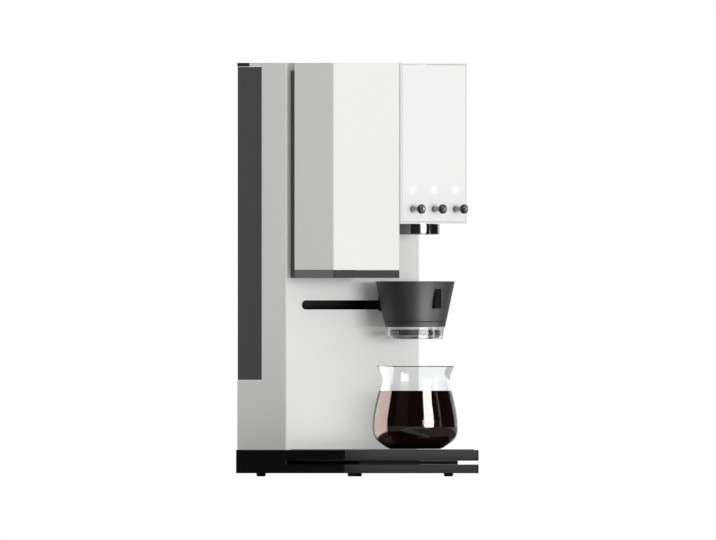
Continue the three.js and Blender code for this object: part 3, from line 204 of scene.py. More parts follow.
def clear_from_below(material, least_slant):
    """Shows a flat card from above alone, and lets by any look that meets it at less slant."""
    nodes, links = material.node_tree.nodes, material.node_tree.links
    view = nodes.new("ShaderNodeLayerWeight")
    slanting = nodes.new("ShaderNodeMath")
    slanting.operation = "GREATER_THAN"
    slanting.inputs[1].default_value = least_slant
    links.new(view.outputs["Facing"], slanting.inputs[0])
    side = nodes.new("ShaderNodeNewGeometry")
    above = nodes.new("ShaderNodeMath")
    above.operation = "SUBTRACT"
    above.use_clamp = True
    links.new(slanting.outputs[0], above.inputs[0])
    links.new(side.outputs["Backfacing"], above.inputs[1])
    show_where(material, above.outputs[0])


def lit_material(name, strength, colour, in_glass_alone):
    """Light that is seen in shiny faces only, and not by way of a matt one."""
    material = plain_material(name, (0, 0, 0, 1), CARD_ROUGHNESS)
    nodes, links = material.node_tree.nodes, material.node_tree.links
    shader = nodes["Principled BSDF"]
    shader.inputs["Emission Color"].default_value = colour
    path = nodes.new("ShaderNodeLightPath")
    unscattered = nodes.new("ShaderNodeMath")
    unscattered.operation = "LESS_THAN"
    unscattered.inputs[1].default_value = 0.5
    links.new(path.outputs["Diffuse Depth"], unscattered.inputs[0])
    power = nodes.new("ShaderNodeMath")
    power.operation = "MULTIPLY"
    power.inputs[1].default_value = strength
    links.new(unscattered.outputs[0], power.inputs[0])
    links.new(power.outputs[0], shader.inputs["Emission Strength"])
    if in_glass_alone:
        fewer = nodes.new("ShaderNodeMath")
        fewer.operation = "MINIMUM"
        links.new(path.outputs["Transmission Depth"], fewer.inputs[0])
        links.new(path.outputs["Glossy Depth"], fewer.inputs[1])
        mirrored = nodes.new("ShaderNodeMath")
        mirrored.operation = "GREATER_THAN"
        mirrored.inputs[1].default_value = 0.5
        links.new(fewer.outputs[0], mirrored.inputs[0])
        show_where(material, mirrored.outputs[0])
    return material


def studio_card(name, finish, middle, size, bearing, lies_flat, seen_in_glass):
    card_mesh = bmesh.new()
    bmesh.ops.create_grid(card_mesh, x_segments=1, y_segments=1, size=0.5)
    bmesh.ops.scale(card_mesh, vec=(size[0], size[1], 1), verts=card_mesh.verts)
    card_data = bpy.data.meshes.new(name)
    card_mesh.to_mesh(card_data)
    card_mesh.free()
    card_data.materials.append(finish)
    card = bpy.data.objects.new(name, card_data)
    card.location = middle
    card.rotation_euler = (0 if lies_flat else math.pi / 2, 0, math.radians(bearing))
    card.visible_camera = False
    card.visible_diffuse = False
    card.visible_shadow = False
    card.visible_transmission = seen_in_glass
    bpy.context.scene.collection.objects.link(card)
    return card


for name, (middle, size, bearing, lies_flat) in DARK_CARDS.items():
    studio_card(name, card_black, middle, size, bearing, lies_flat, not lies_flat)
for name, (*place, strength, colour, seen_in_glass, in_glass_alone) in LIT_CARDS.items():
    finish = lit_material(name + "_light", strength, colour, in_glass_alone)
    if place[-1]:
        clear_from_below(finish, STRIP_SLANT)
    studio_card(name, finish, *place, seen_in_glass)
for name, (middle, size, strength) in MATS.items():
    finish = plain_material(name + "_face", CARD_TONE, CARD_ROUGHNESS)
    mat_shader = finish.node_tree.nodes["Principled BSDF"]
    mat_shader.inputs["Emission Color"].default_value = PLAIN_LIGHT
    mat_shader.inputs["Emission Strength"].default_value = strength
    clear_from_below(finish, ANY_SLANT)
    mat = studio_card(name, finish, middle, size, 0, True, False)
    mat.visible_diffuse = True
    mat.visible_glossy = False

# Base chassis: one injection-moulded black tray with a raised rear block, polished on its outside.
# The platform stands clear of it on a pedestal, which leaves a thin slit all round.
GRAIN_BUMP_DISTANCE = 0.00002
MERGE_DISTANCE = 0.00002
FLAT_ANGLE = math.radians(0.5)
HARD_ANGLE = math.radians(40)


def grain_group():
    """Fine moulding grain: a height, and slow changes of tone and of roughness."""
    group = bpy.data.node_groups.new("moulding_grain", "ShaderNodeTree")
    for name, default in (("Grain Scale", 2500.0), ("Cloud Scale", 30.0)):
        socket = group.interface.new_socket(name, in_out="INPUT", socket_type="NodeSocketFloat")
        socket.default_value = default
    for name in ("Height", "Cloud"):
        group.interface.new_socket(name, in_out="OUTPUT", socket_type="NodeSocketFloat")
    nodes, links = group.nodes, group.links
    inlet = nodes.new("NodeGroupInput")
    outlet = nodes.new("NodeGroupOutput")
    place = nodes.new("ShaderNodeTexCoord")
    fine = nodes.new("ShaderNodeTexNoise")
    cloud = nodes.new("ShaderNodeTexNoise")
    for noise, scale in ((fine, "Grain Scale"), (cloud, "Cloud Scale")):
        noise.inputs["Detail"].default_value = 3
        links.new(place.outputs["Object"], noise.inputs["Vector"])
        links.new(inlet.outputs[scale], noise.inputs["Scale"])
    links.new(fine.outputs["Fac"], outlet.inputs["Height"])
    links.new(cloud.outputs["Fac"], outlet.inputs["Cloud"])
    return group


moulding_grain = grain_group()


def moulded(
    name, colour, roughness, spread=0.05, *, bump, grain=2500, tone=0.04, coat=0.0, shine=0.5
):
    """A moulded plastic or painted finish with fine grain and slight clouding."""
    material = bpy.data.materials.new(name)
    material.use_nodes = True
    nodes, links = material.node_tree.nodes, material.node_tree.links
    shader = nodes["Principled BSDF"]
    shader.inputs["Coat Weight"].default_value = coat
    shader.inputs["Coat Roughness"].default_value = 0.05
    shader.inputs["Specular IOR Level"].default_value = shine
    surface = nodes.new("ShaderNodeGroup")
    surface.node_tree = moulding_grain
    surface.inputs["Grain Scale"].default_value = grain
    tint = nodes.new("ShaderNodeMix")
    tint.data_type = "RGBA"
    tint.inputs["A"].default_value = [c * (1 - tone) for c in colour] + [1]
    tint.inputs["B"].default_value = [min(1, c * (1 + tone)) for c in colour] + [1]
    links.new(surface.outputs["Cloud"], tint.inputs["Factor"])
    links.new(tint.outputs["Result"], shader.inputs["Base Color"])
    gloss = nodes.new("ShaderNodeMapRange")
    gloss.inputs["To Min"].default_value = max(0, roughness - spread)
    gloss.inputs["To Max"].default_value = roughness + spread
    links.new(surface.outputs["Cloud"], gloss.inputs["Value"])
    links.new(gloss.outputs["Result"], shader.inputs["Roughness"])
    relief = nodes.new("ShaderNodeBump")
    relief.inputs["Strength"].default_value = bump
    relief.inputs["Distance"].default_value = GRAIN_BUMP_DISTANCE
    links.new(surface.outputs["Height"], relief.inputs["Height"])
    links.new(relief.outputs["Normal"], shader.inputs["Normal"])
    return material


def put_piece(name, shape, finish, body, slot, *nodes, smooth_angle=35, even=True):
    """Makes a finished mesh a piece that rides on a body and stands for its CAD nodes."""
    for face in shape.faces:
        face.smooth = True
    data = bpy.data.meshes.new(name)
    shape.to_mesh(data)
    shape.free()
    data.set_sharp_from_angle(angle=math.radians(smooth_angle))
    for each in finish if isinstance(finish, list) else [finish]:
        data.materials.append(each)
    piece = bpy.data.objects.new(name, data)
    bpy.context.scene.collection.objects.link(piece)
    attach(piece, body)
    if nodes:
        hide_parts(*nodes)
    if even:
        weighted = piece.modifiers.new("even shading", "WEIGHTED_NORMAL")
        weighted.keep_sharp = True
    return piece


def softened(node, radius, segments=3):
    """A merged copy of a solid with its hard edges rounded over."""
    shape = bmesh.new()
    shape.from_mesh(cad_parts[node].data)
    bmesh.ops.remove_doubles(shape, verts=shape.verts, dist=MERGE_DISTANCE)
    bmesh.ops.dissolve_limit(shape, angle_limit=FLAT_ANGLE, verts=shape.verts, edges=shape.edges)
    hard = [
        edge
        for edge in shape.edges
        if len(edge.link_faces) == 2 and edge.calc_face_angle(0) > HARD_ANGLE
    ]
    bmesh.ops.bevel(
        shape,
        geom=hard,
        offset=radius,
        offset_type="OFFSET",
        segments=segments,
        profile=0.5,
        affect="EDGES",
        clamp_overlap=True,
        material=-1,
    )
    return shape


def soften_node(node, finish, body, slot, radius, segments=3):
    shape = softened(node, radius, segments)
    return put_piece(node + "_moulded", shape, finish, body, slot, node)


black_gloss = moulded("black_gloss", (0.003, 0.003, 0.0032), 0.1, 0.02, bump=0.02, shine=0.75)
soften_node("base_chassis", black_gloss, "machine", "black_gloss", 0.0007)

# Feet: four turned rubber buttons, pressed into the chassis. Each stands on a ring round its
# hollow sole, and they are just high enough to leave a shadow line under the machine.
FOOT_STEPS = 48
SEAM_DISTANCE = 0.000005


def spun(profile, axis_point, steps, axis="Z"):
    """A profile of (radius, height) points turned a full circle about an upright or level axis."""
    shape = bmesh.new()
    points = [shape.verts.new((radius, 0, height)) for radius, height in profile]
    edges = [shape.edges.new(pair) for pair in zip(points, points[1:])]
    bmesh.ops.spin(
        shape,
        geom=points + edges,
        cent=(0, 0, 0),
        axis=(0, 0, 1),
        angle=math.tau,
        steps=steps,
        use_merge=True,
    )
    bmesh.ops.remove_doubles(shape, verts=shape.verts, dist=SEAM_DISTANCE)
    bmesh.ops.recalc_face_normals(shape, faces=shape.faces)
    if axis == "Y":
        backwards = Matrix.Rotation(-math.pi / 2, 3, "X")
        bmesh.ops.rotate(shape, cent=(0, 0, 0), matrix=backwards, verts=shape.verts)
    bmesh.ops.translate(shape, vec=axis_point, verts=shape.verts)
    return shape


rubber = moulded("foot_rubber", (0.02, 0.02, 0.02), 0.75, grain=1600, bump=0.4)
for corner in ("front_left", "front_right", "rear_left", "rear_right"):
    low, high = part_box("foot_" + corner)
    radius = (high.x - low.x) / 2
    height = high.z - low.z
    foot_profile = [
        (0, 0.15 * height),
        (0.45 * radius, 0.15 * height),
        (0.5 * radius, 0),
        (0.7 * radius, 0),
        (0.85 * radius, 0.07 * height),
        (0.95 * radius, 0.25 * height),
        (radius, 0.55 * height),
        (radius, height),
        (0, height),
    ]
    middle = ((low.x + high.x) / 2, (low.y + high.y) / 2, 0)
    foot = spun(foot_profile, middle, FOOT_STEPS)
    put_piece("rubber_foot_" + corner, foot, rubber, "machine", "rubber", "foot_" + corner)

# Weighing works: the load cell is a bored metal bar in the chassis, and the pedestal on it is the
# dark plate seen in the slit under the platform.
PEDESTAL_RISE = 0.00025
LINE_STRETCH = 0.02
black_matte = moulded("black_matte", (0.011, 0.011, 0.012), 0.5, 0.06, bump=0.3, shine=0.25)
pedestal = softened("scale_pedestal", 0.0003)
low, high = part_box("scale_pedestal")
for vert in pedestal.verts:
    vert.co.z += PEDESTAL_RISE if vert.co.z > (low.z + high.z) / 2 else -PEDESTAL_RISE
put_piece("pedestal_plate", pedestal, black_matte, "machine", "black_matte", "scale_pedestal")


def dress(node, finish):
    """Gives a carried-over solid its finish."""
    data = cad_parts[node].data
    data.materials.clear()
    data.materials.append(finish)


def brushed(name, colour, roughness, along="Z", fineness=900):
    """Bare metal with fine drawn or turned lines across one axis."""
    material = bpy.data.materials.new(name)
    material.use_nodes = True
    nodes, links = material.node_tree.nodes, material.node_tree.links
    shader = nodes["Principled BSDF"]
    shader.inputs["Metallic"].default_value = 1
    place = nodes.new("ShaderNodeTexCoord")
    stretch = nodes.new("ShaderNodeMapping")
    stretch.inputs["Scale"].default_value = [LINE_STRETCH if axis == along else 1 for axis in "XYZ"]
    links.new(place.outputs["Object"], stretch.inputs["Vector"])
    lines = nodes.new("ShaderNodeTexNoise")
    lines.inputs["Scale"].default_value = fineness
    lines.inputs["Detail"].default_value = 2
    links.new(stretch.outputs["Vector"], lines.inputs["Vector"])
    gloss = nodes.new("ShaderNodeMapRange")
    gloss.inputs["To Min"].default_value = roughness * 0.8
    gloss.inputs["To Max"].default_value = roughness * 1.25
    links.new(lines.outputs["Fac"], gloss.inputs["Value"])
    links.new(gloss.outputs["Result"], shader.inputs["Roughness"])
    tint = nodes.new("ShaderNodeMix")
    tint.data_type = "RGBA"
    tint.inputs["A"].default_value = [c * 0.93 for c in colour] + [1]
    tint.inputs["B"].default_value = [min(1, c * 1.05) for c in colour] + [1]
    links.new(lines.outputs["Fac"], tint.inputs["Factor"])
    links.new(tint.outputs["Result"], shader.inputs["Base Color"])
    return material


steel = brushed("works_steel", (0.42, 0.43, 0.44), 0.35)
dress("load_cell", steel)

# Platform: a shallow black tray with a raised rim, and a slotted grille that drops into it.
# Both are lifted out to be rinsed, so the grille has play on every side.
soften_node("drip_platform", black_gloss, "platform", "black_gloss", 0.0006)
grille_black = moulded("grille_black", (0.012, 0.012, 0.0125), 0.38, 0.05, bump=0.2)
soften_node("drip_grille", grille_black, "platform", "black_matte", 0.0005, 2)

# Column: a moulded white shell with the carriage slot cut through its front wall, closed by a
# bulkhead in front of the tank and by a grey cover low at the back.
shell_white = moulded(
    "shell_white", (0.86, 0.86, 0.85), 0.42, 0.04, bump=0.12, tone=0.006, shine=0.15
)
soften_node("column_shell", shell_white, "machine", "white_shell", 0.0006)
dress("bulkhead", shell_white)
trim_grey = moulded("trim_grey", (0.058, 0.058, 0.06), 0.42, 0.05, bump=0.25)
soften_node("rear_lower_cover", trim_grey, "machine", "grey_trim", 0.0004)
dress("slot_liner", black_matte)
dress("tank_socket", black_matte)

# Rear cover screws: four round-headed screws with a sunk socket hold the lower cover to the
# shell, one near each of its corners.
SCREW_RADIUS = 0.0026
SCREW_RISE = 0.0012
SCREW_SINK = 0.0008
SCREW_EDGE = 0.007
SCREW_STEPS = 24
low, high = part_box("rear_lower_cover")
screw_steel = brushed("screw_steel", (0.3, 0.3, 0.31), 0.3)
screw_profile = [
    (0, -SCREW_SINK),
    (SCREW_RADIUS, -SCREW_SINK),
    (SCREW_RADIUS, 0.2 * SCREW_RISE),
    (0.8 * SCREW_RADIUS, 0.8 * SCREW_RISE),
    (0.35 * SCREW_RADIUS, SCREW_RISE),
    (0.3 * SCREW_RADIUS, 0.4 * SCREW_RISE),
    (0, 0.4 * SCREW_RISE),
]
screw_y = min(high.y, cad_high.y - SCREW_RISE)
for number, (x, z) in enumerate(
    (x, z)
    for x in (low.x + SCREW_EDGE, high.x - SCREW_EDGE)
    for z in (low.z + SCREW_EDGE, high.z - SCREW_EDGE)
):
    screw = spun(screw_profile, (x, screw_y, z), SCREW_STEPS, axis="Y")
    put_piece("cover_screw_" + str(number), screw, screw_steel, "machine", "steel")

# Water tank: a smoked, polished moulding that makes the column's rear corner. Its lid is a shade
# darker, hinged at the front edge over the filling mouth.
tank_smoke = moulded("tank_smoke", (0.1, 0.1, 0.1), 0.14, 0.03, bump=0.03)
soften_node("water_tank", tank_smoke, "tank", "smoked_plastic", 0.0004)
dress("tank_valve", black_matte)
lid_smoke = moulded("lid_smoke", (0.04, 0.04, 0.041), 0.3, 0.04, bump=0.1)
soften_node("tank_lid", lid_smoke, "tank_lid", "black_matte", 0.0004)

# Necks: two dark hollow frames in the recess behind the blocks. Wires pass through one and the
# brewing hose through the other.
neck_grey = moulded("neck_grey", (0.075, 0.075, 0.076), 0.5, 0.05, bump=0.2)
soften_node("grinder_neck", neck_grey, "machine", "grey_trim", 0.0004)
soften_node("head_neck", neck_grey, "machine", "grey_trim", 0.0004)

# Grinder block: a white cover over the works, with a grey band round its foot that holds the
# outlet.
# The band is one grey with painted light and shade: darker on its front faces, lighter on the rest.
# A lid is set flush in its top.
soften_node("grinder_cover", shell_white, "machine", "white_shell", 0.0005)
# Two tones of the one band moulding: painted light for its sides, painted shade for its front.
band_side_painted_lighter = moulded("band_side_painted_lighter", (0.2, 0.2, 0.202), 0.45, 0.05, bump=0.25, shine=0.15)
band_front_painted_darker = moulded("band_front_painted_darker", (0.05, 0.05, 0.051), 0.5, 0.05, bump=0.25, shine=0.15)
band = softened("grinder_band", 0.0004)
band.normal_update()
# Painted light and shade: faces turned to the front get the darker tone, all others the lighter
# one.
for face in band.faces:
    face.material_index = 1 if face.normal.y < -0.5 else 0
put_piece("foot_band", band, [band_side_painted_lighter, band_front_painted_darker], "machine", "grey_trim", "grinder_band")
soften_node("hopper_lid", shell_white, "hopper_lid", "white_shell", 0.0004)
clear_plastic = bpy.data.materials.new("clear_plastic")
clear_plastic.use_nodes = True
clear_shader = clear_plastic.node_tree.nodes["Principled BSDF"]
clear_shader.inputs["Base Color"].default_value = (0.93, 0.94, 0.94, 1)
clear_shader.inputs["Roughness"].default_value = 0.06
clear_shader.inputs["Transmission Weight"].default_value = 1
clear_shader.inputs["IOR"].default_value = 1.49
dress("hopper_funnel", clear_plastic)
for node in ("ring_burr", "cone_burr", "motor_pinion", "grinder_motor", "grinder_frame"):
    dress(node, steel)
dress("burr_housing", trim_grey)
dress("grounds_chute", black_matte)

# Brew head: a white shell whose front is a glossy inset panel in a narrow frame. The signs over
# the dials are lit from the lens behind the panel.
panel_white = moulded(
    "panel_white", (0.88, 0.88, 0.875), 0.12, 0.02, bump=0.02, tone=0.004, coat=0.15
)
soften_node("head_shell", shell_white, "machine", "white_shell", 0.0005)
soften_node("head_front_panel", panel_white, "machine", "white_panel", 0.0003)
lens_white = moulded("lens_white", (0.9, 0.9, 0.89), 0.2, 0.03, bump=0.02)
dress("display_lens", lens_white)
board_green = moulded("board_green", (0.02, 0.1, 0.05), 0.4, 0.1, grain=900, bump=0.4, tone=0.2)
dress("dial_board", board_green)

# Lit signs: plain numbers, one over each dial, printed in glowing white. The light behind each
# also shines faintly through the panel round it.
SIGN_HEIGHT = 0.0095
SIGN_DEPTH = 0.0001
SIGN_MERGE_DISTANCE = 0.000002
HALO_REACH = 0.0085
HALO_LIGHT = 0.09


def halo_group(spots):
    """Soft round glows about the given places: white at their middles, black away from them."""
    group = bpy.data.node_groups.new("sign_halo", "ShaderNodeTree")
    group.interface.new_socket("Glow", in_out="OUTPUT", socket_type="NodeSocketColor")
    nodes, links = group.nodes, group.links
    outlet = nodes.new("NodeGroupOutput")
    place = nodes.new("ShaderNodeTexCoord")
    level = None
    for spot in spots:
        away = nodes.new("ShaderNodeVectorMath")
        away.operation = "DISTANCE"
        away.inputs[1].default_value = spot
        links.new(place.outputs["Object"], away.inputs[0])
        fade = nodes.new("ShaderNodeMapRange")
        fade.interpolation_type = "SMOOTHSTEP"
        fade.inputs["From Max"].default_value = HALO_REACH
        fade.inputs["To Min"].default_value = HALO_LIGHT
        fade.inputs["To Max"].default_value = 0
        links.new(away.outputs["Value"], fade.inputs["Value"])
        if level is None:
            level = fade.outputs["Result"]
            continue
        either = nodes.new("ShaderNodeMath")
        either.operation = "MAXIMUM"
        links.new(level, either.inputs[0])
        links.new(fade.outputs["Result"], either.inputs[1])
        level = either.outputs["Value"]
    links.new(level, outlet.inputs["Glow"])
    return group


sign_glow = bpy.data.materials.new("sign_glow")
sign_glow.use_nodes = True
glow_shader = sign_glow.node_tree.nodes["Principled BSDF"]
glow_shader.inputs["Base Color"].default_value = (0.9, 0.9, 0.9, 1)
glow_shader.inputs["Emission Color"].default_value = (1, 1, 1, 1)
glow_shader.inputs["Emission Strength"].default_value = 0.2
panel_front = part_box("head_front_panel")[0].y
lens_low, lens_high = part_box("display_lens")
sign_middle = (lens_low.z + lens_high.z) / 2
sign_spots = []
for number, side in enumerate(("left", "centre", "right"), start=1):
    dial_low, dial_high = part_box("dial_" + side)
    letter = bpy.data.curves.new("sign_" + side, "FONT")
    letter.body = str(number)
    letter.size = SIGN_HEIGHT
    letter.extrude = SIGN_DEPTH
    letter.align_x = "CENTER"
    letter.align_y = "CENTER"
    letter_object = bpy.data.objects.new("sign_text", letter)
    bpy.context.scene.collection.objects.link(letter_object)
    flat_letter = bpy.data.meshes.new_from_object(letter_object)
    bpy.data.objects.remove(letter_object)
    sign = bmesh.new()
    sign.from_mesh(flat_letter)
    bpy.data.meshes.remove(flat_letter)
    bmesh.ops.remove_doubles(sign, verts=sign.verts, dist=SIGN_MERGE_DISTANCE)
    upright = Matrix.Rotation(math.pi / 2, 3, "X")
    bmesh.ops.rotate(sign, cent=(0, 0, 0), matrix=upright, verts=sign.verts)
    spot = Vector(((dial_low.x + dial_high.x) / 2, panel_front, sign_middle))
    sign_spots.append(spot)
    bmesh.ops.translate(sign, vec=spot, verts=sign.verts)
    put_piece("sign_" + side, sign, sign_glow, "machine", "lens")
halo = panel_white.node_tree.nodes.new("ShaderNodeGroup")
halo.node_tree = halo_group(sign_spots)
panel_shader = panel_white.node_tree.nodes["Principled BSDF"]
panel_white.node_tree.links.new(halo.outputs["Glow"], panel_shader.inputs["Emission Color"])
panel_shader.inputs["Emission Strength"].default_value = 1

# Dials: three small turned metal buttons on thin stems. Each turns and pushes in, and its cap has
# a dark knurled ring round a shallow bright dish.
DIAL_STEPS = 72
KNURL_DEPTH = 0.00014
RING_SHARE = 0.78
CAP_DEPTH = 0.0028
STEM_RADIUS = 0.0026
BORE_RADIUS = 0.0017
BORE_START = 0.0035
dial_metal = brushed("dial_metal", (0.3, 0.3, 0.305), 0.3, along="Y", fineness=1800)
ring_metal = brushed("ring_metal", (0.09, 0.09, 0.092), 0.35, along="Y", fineness=1800)
for side in ("left", "centre", "right"):
    low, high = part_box("dial_" + side)
    cap_radius = (high.x - low.x) / 2
    length = high.y - low.y
    dial_profile = [
        (0, 0.0007),
        (0.4 * cap_radius, 0.0006),
        (0.7 * cap_radius, 0.0002),
        (RING_SHARE * cap_radius, 0.0001),
        (0.84 * cap_radius, 0),
        (0.93 * cap_radius, 0),
        (cap_radius, 0.14 * CAP_DEPTH),
        (cap_radius, 0.86 * CAP_DEPTH),
        (0.93 * cap_radius, CAP_DEPTH),
        (STEM_RADIUS, CAP_DEPTH),
        (STEM_RADIUS, length),
        (BORE_RADIUS, length),
        (BORE_RADIUS, BORE_START),
        (0, BORE_START),
    ]
    middle = ((low.x + high.x) / 2, low.y, (low.z + high.z) / 2)
    dial = spun(dial_profile, middle, DIAL_STEPS, axis="Y")
    centre = Vector(middle)
    for vert in dial.verts:
        offset = Vector((vert.co.x - centre.x, 0, vert.co.z - centre.z))
        on_rim = offset.length > 0.99 * cap_radius
        turn = round(math.atan2(offset.z, offset.x) / math.tau * DIAL_STEPS)
        if on_rim and turn % 2:
            vert.co -= offset.normalized() * KNURL_DEPTH
    for face in dial.faces:
        offset = face.calc_center_median() - centre
        past_dish = math.hypot(offset.x, offset.z) > RING_SHARE * cap_radius
        face.material_index = 1 if past_dish and offset.y < CAP_DEPTH else 0
    metals = [dial_metal, ring_metal]
    put_piece("turned_dial_" + side, dial, metals, "dial_" + side, "dial_metal", "dial_" + side)
    dress("spindle_" + side, steel)

# Shower head: a polished dark ring under the brew head, with a groove round it. The spout turns
# inside it and lays the water down in circles.
SHOWER_STEPS = 96
SHOWER_LIP_RISE = 0.0012
SHOWER_LIP_EDGE = 0.0003
SHOWER_GROOVE_FOOT = 0.0112
SHOWER_GROOVE_TOP = 0.0148
SHOWER_ROOF = 0.003
chrome_dark = brushed("chrome_dark", (0.32, 0.32, 0.33), 0.09, fineness=300)
low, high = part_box("shower_housing")
shower_axis = Vector(((low.x + high.x) / 2, (low.y + high.y) / 2, low.z))
outer = (high.x - low.x) / 2
rise = high.z - low.z
shower_profile = [
    (0.775 * outer, SHOWER_LIP_RISE),
    (0.79 * outer, SHOWER_LIP_EDGE),
    (0.83 * outer, 0),
    (0.965 * outer, 0),
    (0.99 * outer, SHOWER_LIP_EDGE),
    (outer, SHOWER_LIP_RISE),
    (outer, SHOWER_GROOVE_FOOT),
    (0.885 * outer, SHOWER_GROOVE_FOOT),
    (0.885 * outer, SHOWER_GROOVE_TOP),
    (outer, SHOWER_GROOVE_TOP),
    (outer, rise),
    (0.14 * outer, rise),
    (0.14 * outer, rise - SHOWER_ROOF),
    (0.775 * outer, rise - SHOWER_ROOF),
    (0.775 * outer, SHOWER_LIP_RISE),
]
shower = spun(shower_profile, shower_axis, SHOWER_STEPS)
put_piece("shower_ring", shower, chrome_dark, "machine", "shower_metal", "shower_housing")
soften_node("spout_turret", chrome_dark, "spout", "shower_metal", 0.0003, 2)
dress("spout_motor", steel)
dress("spout_hose", clear_plastic)

# Carriage: a black block that wraps its rail behind the wall, and the grip in front of the slot
# that the filter holder hooks on.
soften_node("carriage_head", black_matte, "carriage", "black_matte", 0.0008)
soften_node("carriage_block", black_matte, "carriage", "black_matte", 0.0004)
rail_black = brushed("rail_black", (0.03, 0.03, 0.031), 0.35, along="X")
dress("carriage_rail", rail_black)

# Filter holder: a charcoal cone with a thin groove near its foot, ribbed inside so that a paper
# filter can drain, with a black pad let into its front and its back.
CONE_STEPS = 128
RIB_COUNT = 16
RIB_HEIGHT = 0.0009
CONE_FOOT_RADIUS = 0.0322
CONE_WALL = 0.0026
CONE_EDGE = 0.0004
RIM_EDGE = 0.0006
RIM_DRAFT = 0.0001
RIM_INNER_EDGE = 0.0005
GROOVE_DEPTH = 0.0006
GROOVE_HEIGHT = 0.0057
cone_charcoal = moulded("cone_charcoal", (0.022, 0.022, 0.023), 0.46, 0.03, bump=0.15)
low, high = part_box("dripper_cone")
cone_axis = Vector(((low.x + high.x) / 2, (low.y + high.y) / 2, low.z))
cone_height = high.z - low.z
top_radius = (high.x - low.x) / 2


def cone_radius(height):
    return CONE_FOOT_RADIUS + (top_radius - CONE_FOOT_RADIUS) * height / cone_height


groove_radius = cone_radius(GROOVE_HEIGHT) - GROOVE_DEPTH
cone_profile = [
    (CONE_FOOT_RADIUS - CONE_WALL, CONE_EDGE),
    (CONE_FOOT_RADIUS - CONE_WALL + CONE_EDGE, 0),
    (CONE_FOOT_RADIUS - CONE_EDGE, 0),
    (CONE_FOOT_RADIUS, CONE_EDGE),
    (cone_radius(GROOVE_HEIGHT - GROOVE_DEPTH), GROOVE_HEIGHT - GROOVE_DEPTH),
    (groove_radius, GROOVE_HEIGHT - 0.4 * GROOVE_DEPTH),
    (groove_radius, GROOVE_HEIGHT + 0.4 * GROOVE_DEPTH),
    (cone_radius(GROOVE_HEIGHT + GROOVE_DEPTH), GROOVE_HEIGHT + GROOVE_DEPTH),
    (top_radius - RIM_DRAFT, cone_height - RIM_EDGE),
    (top_radius - RIM_EDGE, cone_height),
    (top_radius - CONE_WALL + RIM_INNER_EDGE, cone_height),
    (top_radius - CONE_WALL, cone_height - RIM_INNER_EDGE),
    (CONE_FOOT_RADIUS - CONE_WALL, CONE_EDGE),
]
cone = spun(cone_profile, cone_axis, CONE_STEPS)
for vert in cone.verts:
    offset = Vector((vert.co.x - cone_axis.x, vert.co.y - cone_axis.y, 0))
    turn = round(math.atan2(offset.y, offset.x) / math.tau * CONE_STEPS)
    inner = offset.length < cone_radius(vert.co.z - cone_axis.z) - 0.8 * CONE_WALL
    if inner and turn % (CONE_STEPS // RIB_COUNT) == 0 and vert.co.z < high.z - RIM_EDGE / 2:
        vert.co -= offset.normalized() * RIB_HEIGHT
put_piece("filter_cone", cone, cone_charcoal, "dripper", "cone_grey", "dripper_cone")
pad_black = moulded("pad_black", (0.004, 0.004, 0.004), 0.7, 0.05, bump=0.3, shine=0.1)
for node in ("dripper_front_pad", "dripper_rear_pad"):
    soften_node(node, pad_black, "dripper", "black_matte", 0.0004)

# Collar: a clear ring pressed on the cone's foot. It holds a dark dished plate with the drain
# hole, which is seen through it.
COLLAR_WALL = 0.0022
COLLAR_FOOT = 0.0297
COLLAR_EDGE = 0.0005
LEDGE_EDGE = 0.0004
LEDGE_HEIGHT = 0.0033
low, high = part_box("dripper_collar")
collar_height = high.z - low.z
collar_top = (high.x - low.x) / 2
ledge = COLLAR_FOOT - 2 * COLLAR_WALL
collar_profile = [
    (ledge, LEDGE_EDGE),
    (ledge + LEDGE_EDGE, 0),
    (COLLAR_FOOT - COLLAR_EDGE, 0),
    (COLLAR_FOOT, COLLAR_EDGE),
    (collar_top, collar_height),
    (collar_top - COLLAR_WALL, collar_height),
    (COLLAR_FOOT - COLLAR_WALL, LEDGE_HEIGHT),
    (ledge, LEDGE_HEIGHT),
    (ledge, LEDGE_EDGE),
]
collar = spun(collar_profile, Vector((cone_axis.x, cone_axis.y, low.z)), CONE_STEPS)
collar_piece = put_piece(
    "clear_collar", collar, clear_plastic, "dripper", "clear_plastic", "dripper_collar", even=False
)
collar_piece.visible_shadow = False
collar_piece.visible_diffuse = False
soften_node("dripper_drain_plate", black_matte, "dripper", "black_matte", 0.0003, 2)

# Carafe: thin blown glass with a flat base, a wide belly, a drawn-in neck and a flared rim with a
# pouring lip. The rim's top edge is tinted grey, painted shade for the dark line glass shows there.
# It stands free on the grille.
GLASS_STEPS = 160
GLASS_WALL = 0.0013
GLASS_FLOOR = 0.0022
FLOOR_SHARE = 0.6
WALL_START = 0.003
BELLY_RADIUS = 0.0457
LIP_REACH = 0.0024
LIP_DROP = 0.0004
LIP_SHARE = 0.1
LIP_HALF_ANGLE = math.radians(16)
LIP_TURN = math.radians(37)
PAINTED_RIM_SHADE_SHARE = 0.008
low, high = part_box("carafe_glass")
carafe_axis = Vector((cone_axis.x, cone_axis.y, low.z))
carafe_height = high.z - low.z
outline_shares = [
    (0.0, 0.0),
    (0.58, 0.0),
    (0.665, 0.018),
    (0.75, 0.046),
    (0.815, 0.068),
    (0.87, 0.09),
    (0.91, 0.11),
    (0.94, 0.132),
    (0.965, 0.156),
    (0.983, 0.182),
    (0.994, 0.215),
    (1.0, 0.27),
    (0.998, 0.31),
    (0.993, 0.35),
    (0.978, 0.415),
    (0.954, 0.487),
    (0.926, 0.559),
    (0.893, 0.632),
    (0.858, 0.7),
    (0.829, 0.76),
    (0.814, 0.81),
    (0.812, 0.84),
    (0.821, 0.875),
    (0.84, 0.912),
    (0.868, 0.948),
    (0.893, 0.976),
    (0.907, 0.99),
    (0.917, 1.0),
]
glass_outer = [(share * BELLY_RADIUS, height * carafe_height) for share, height in outline_shares]
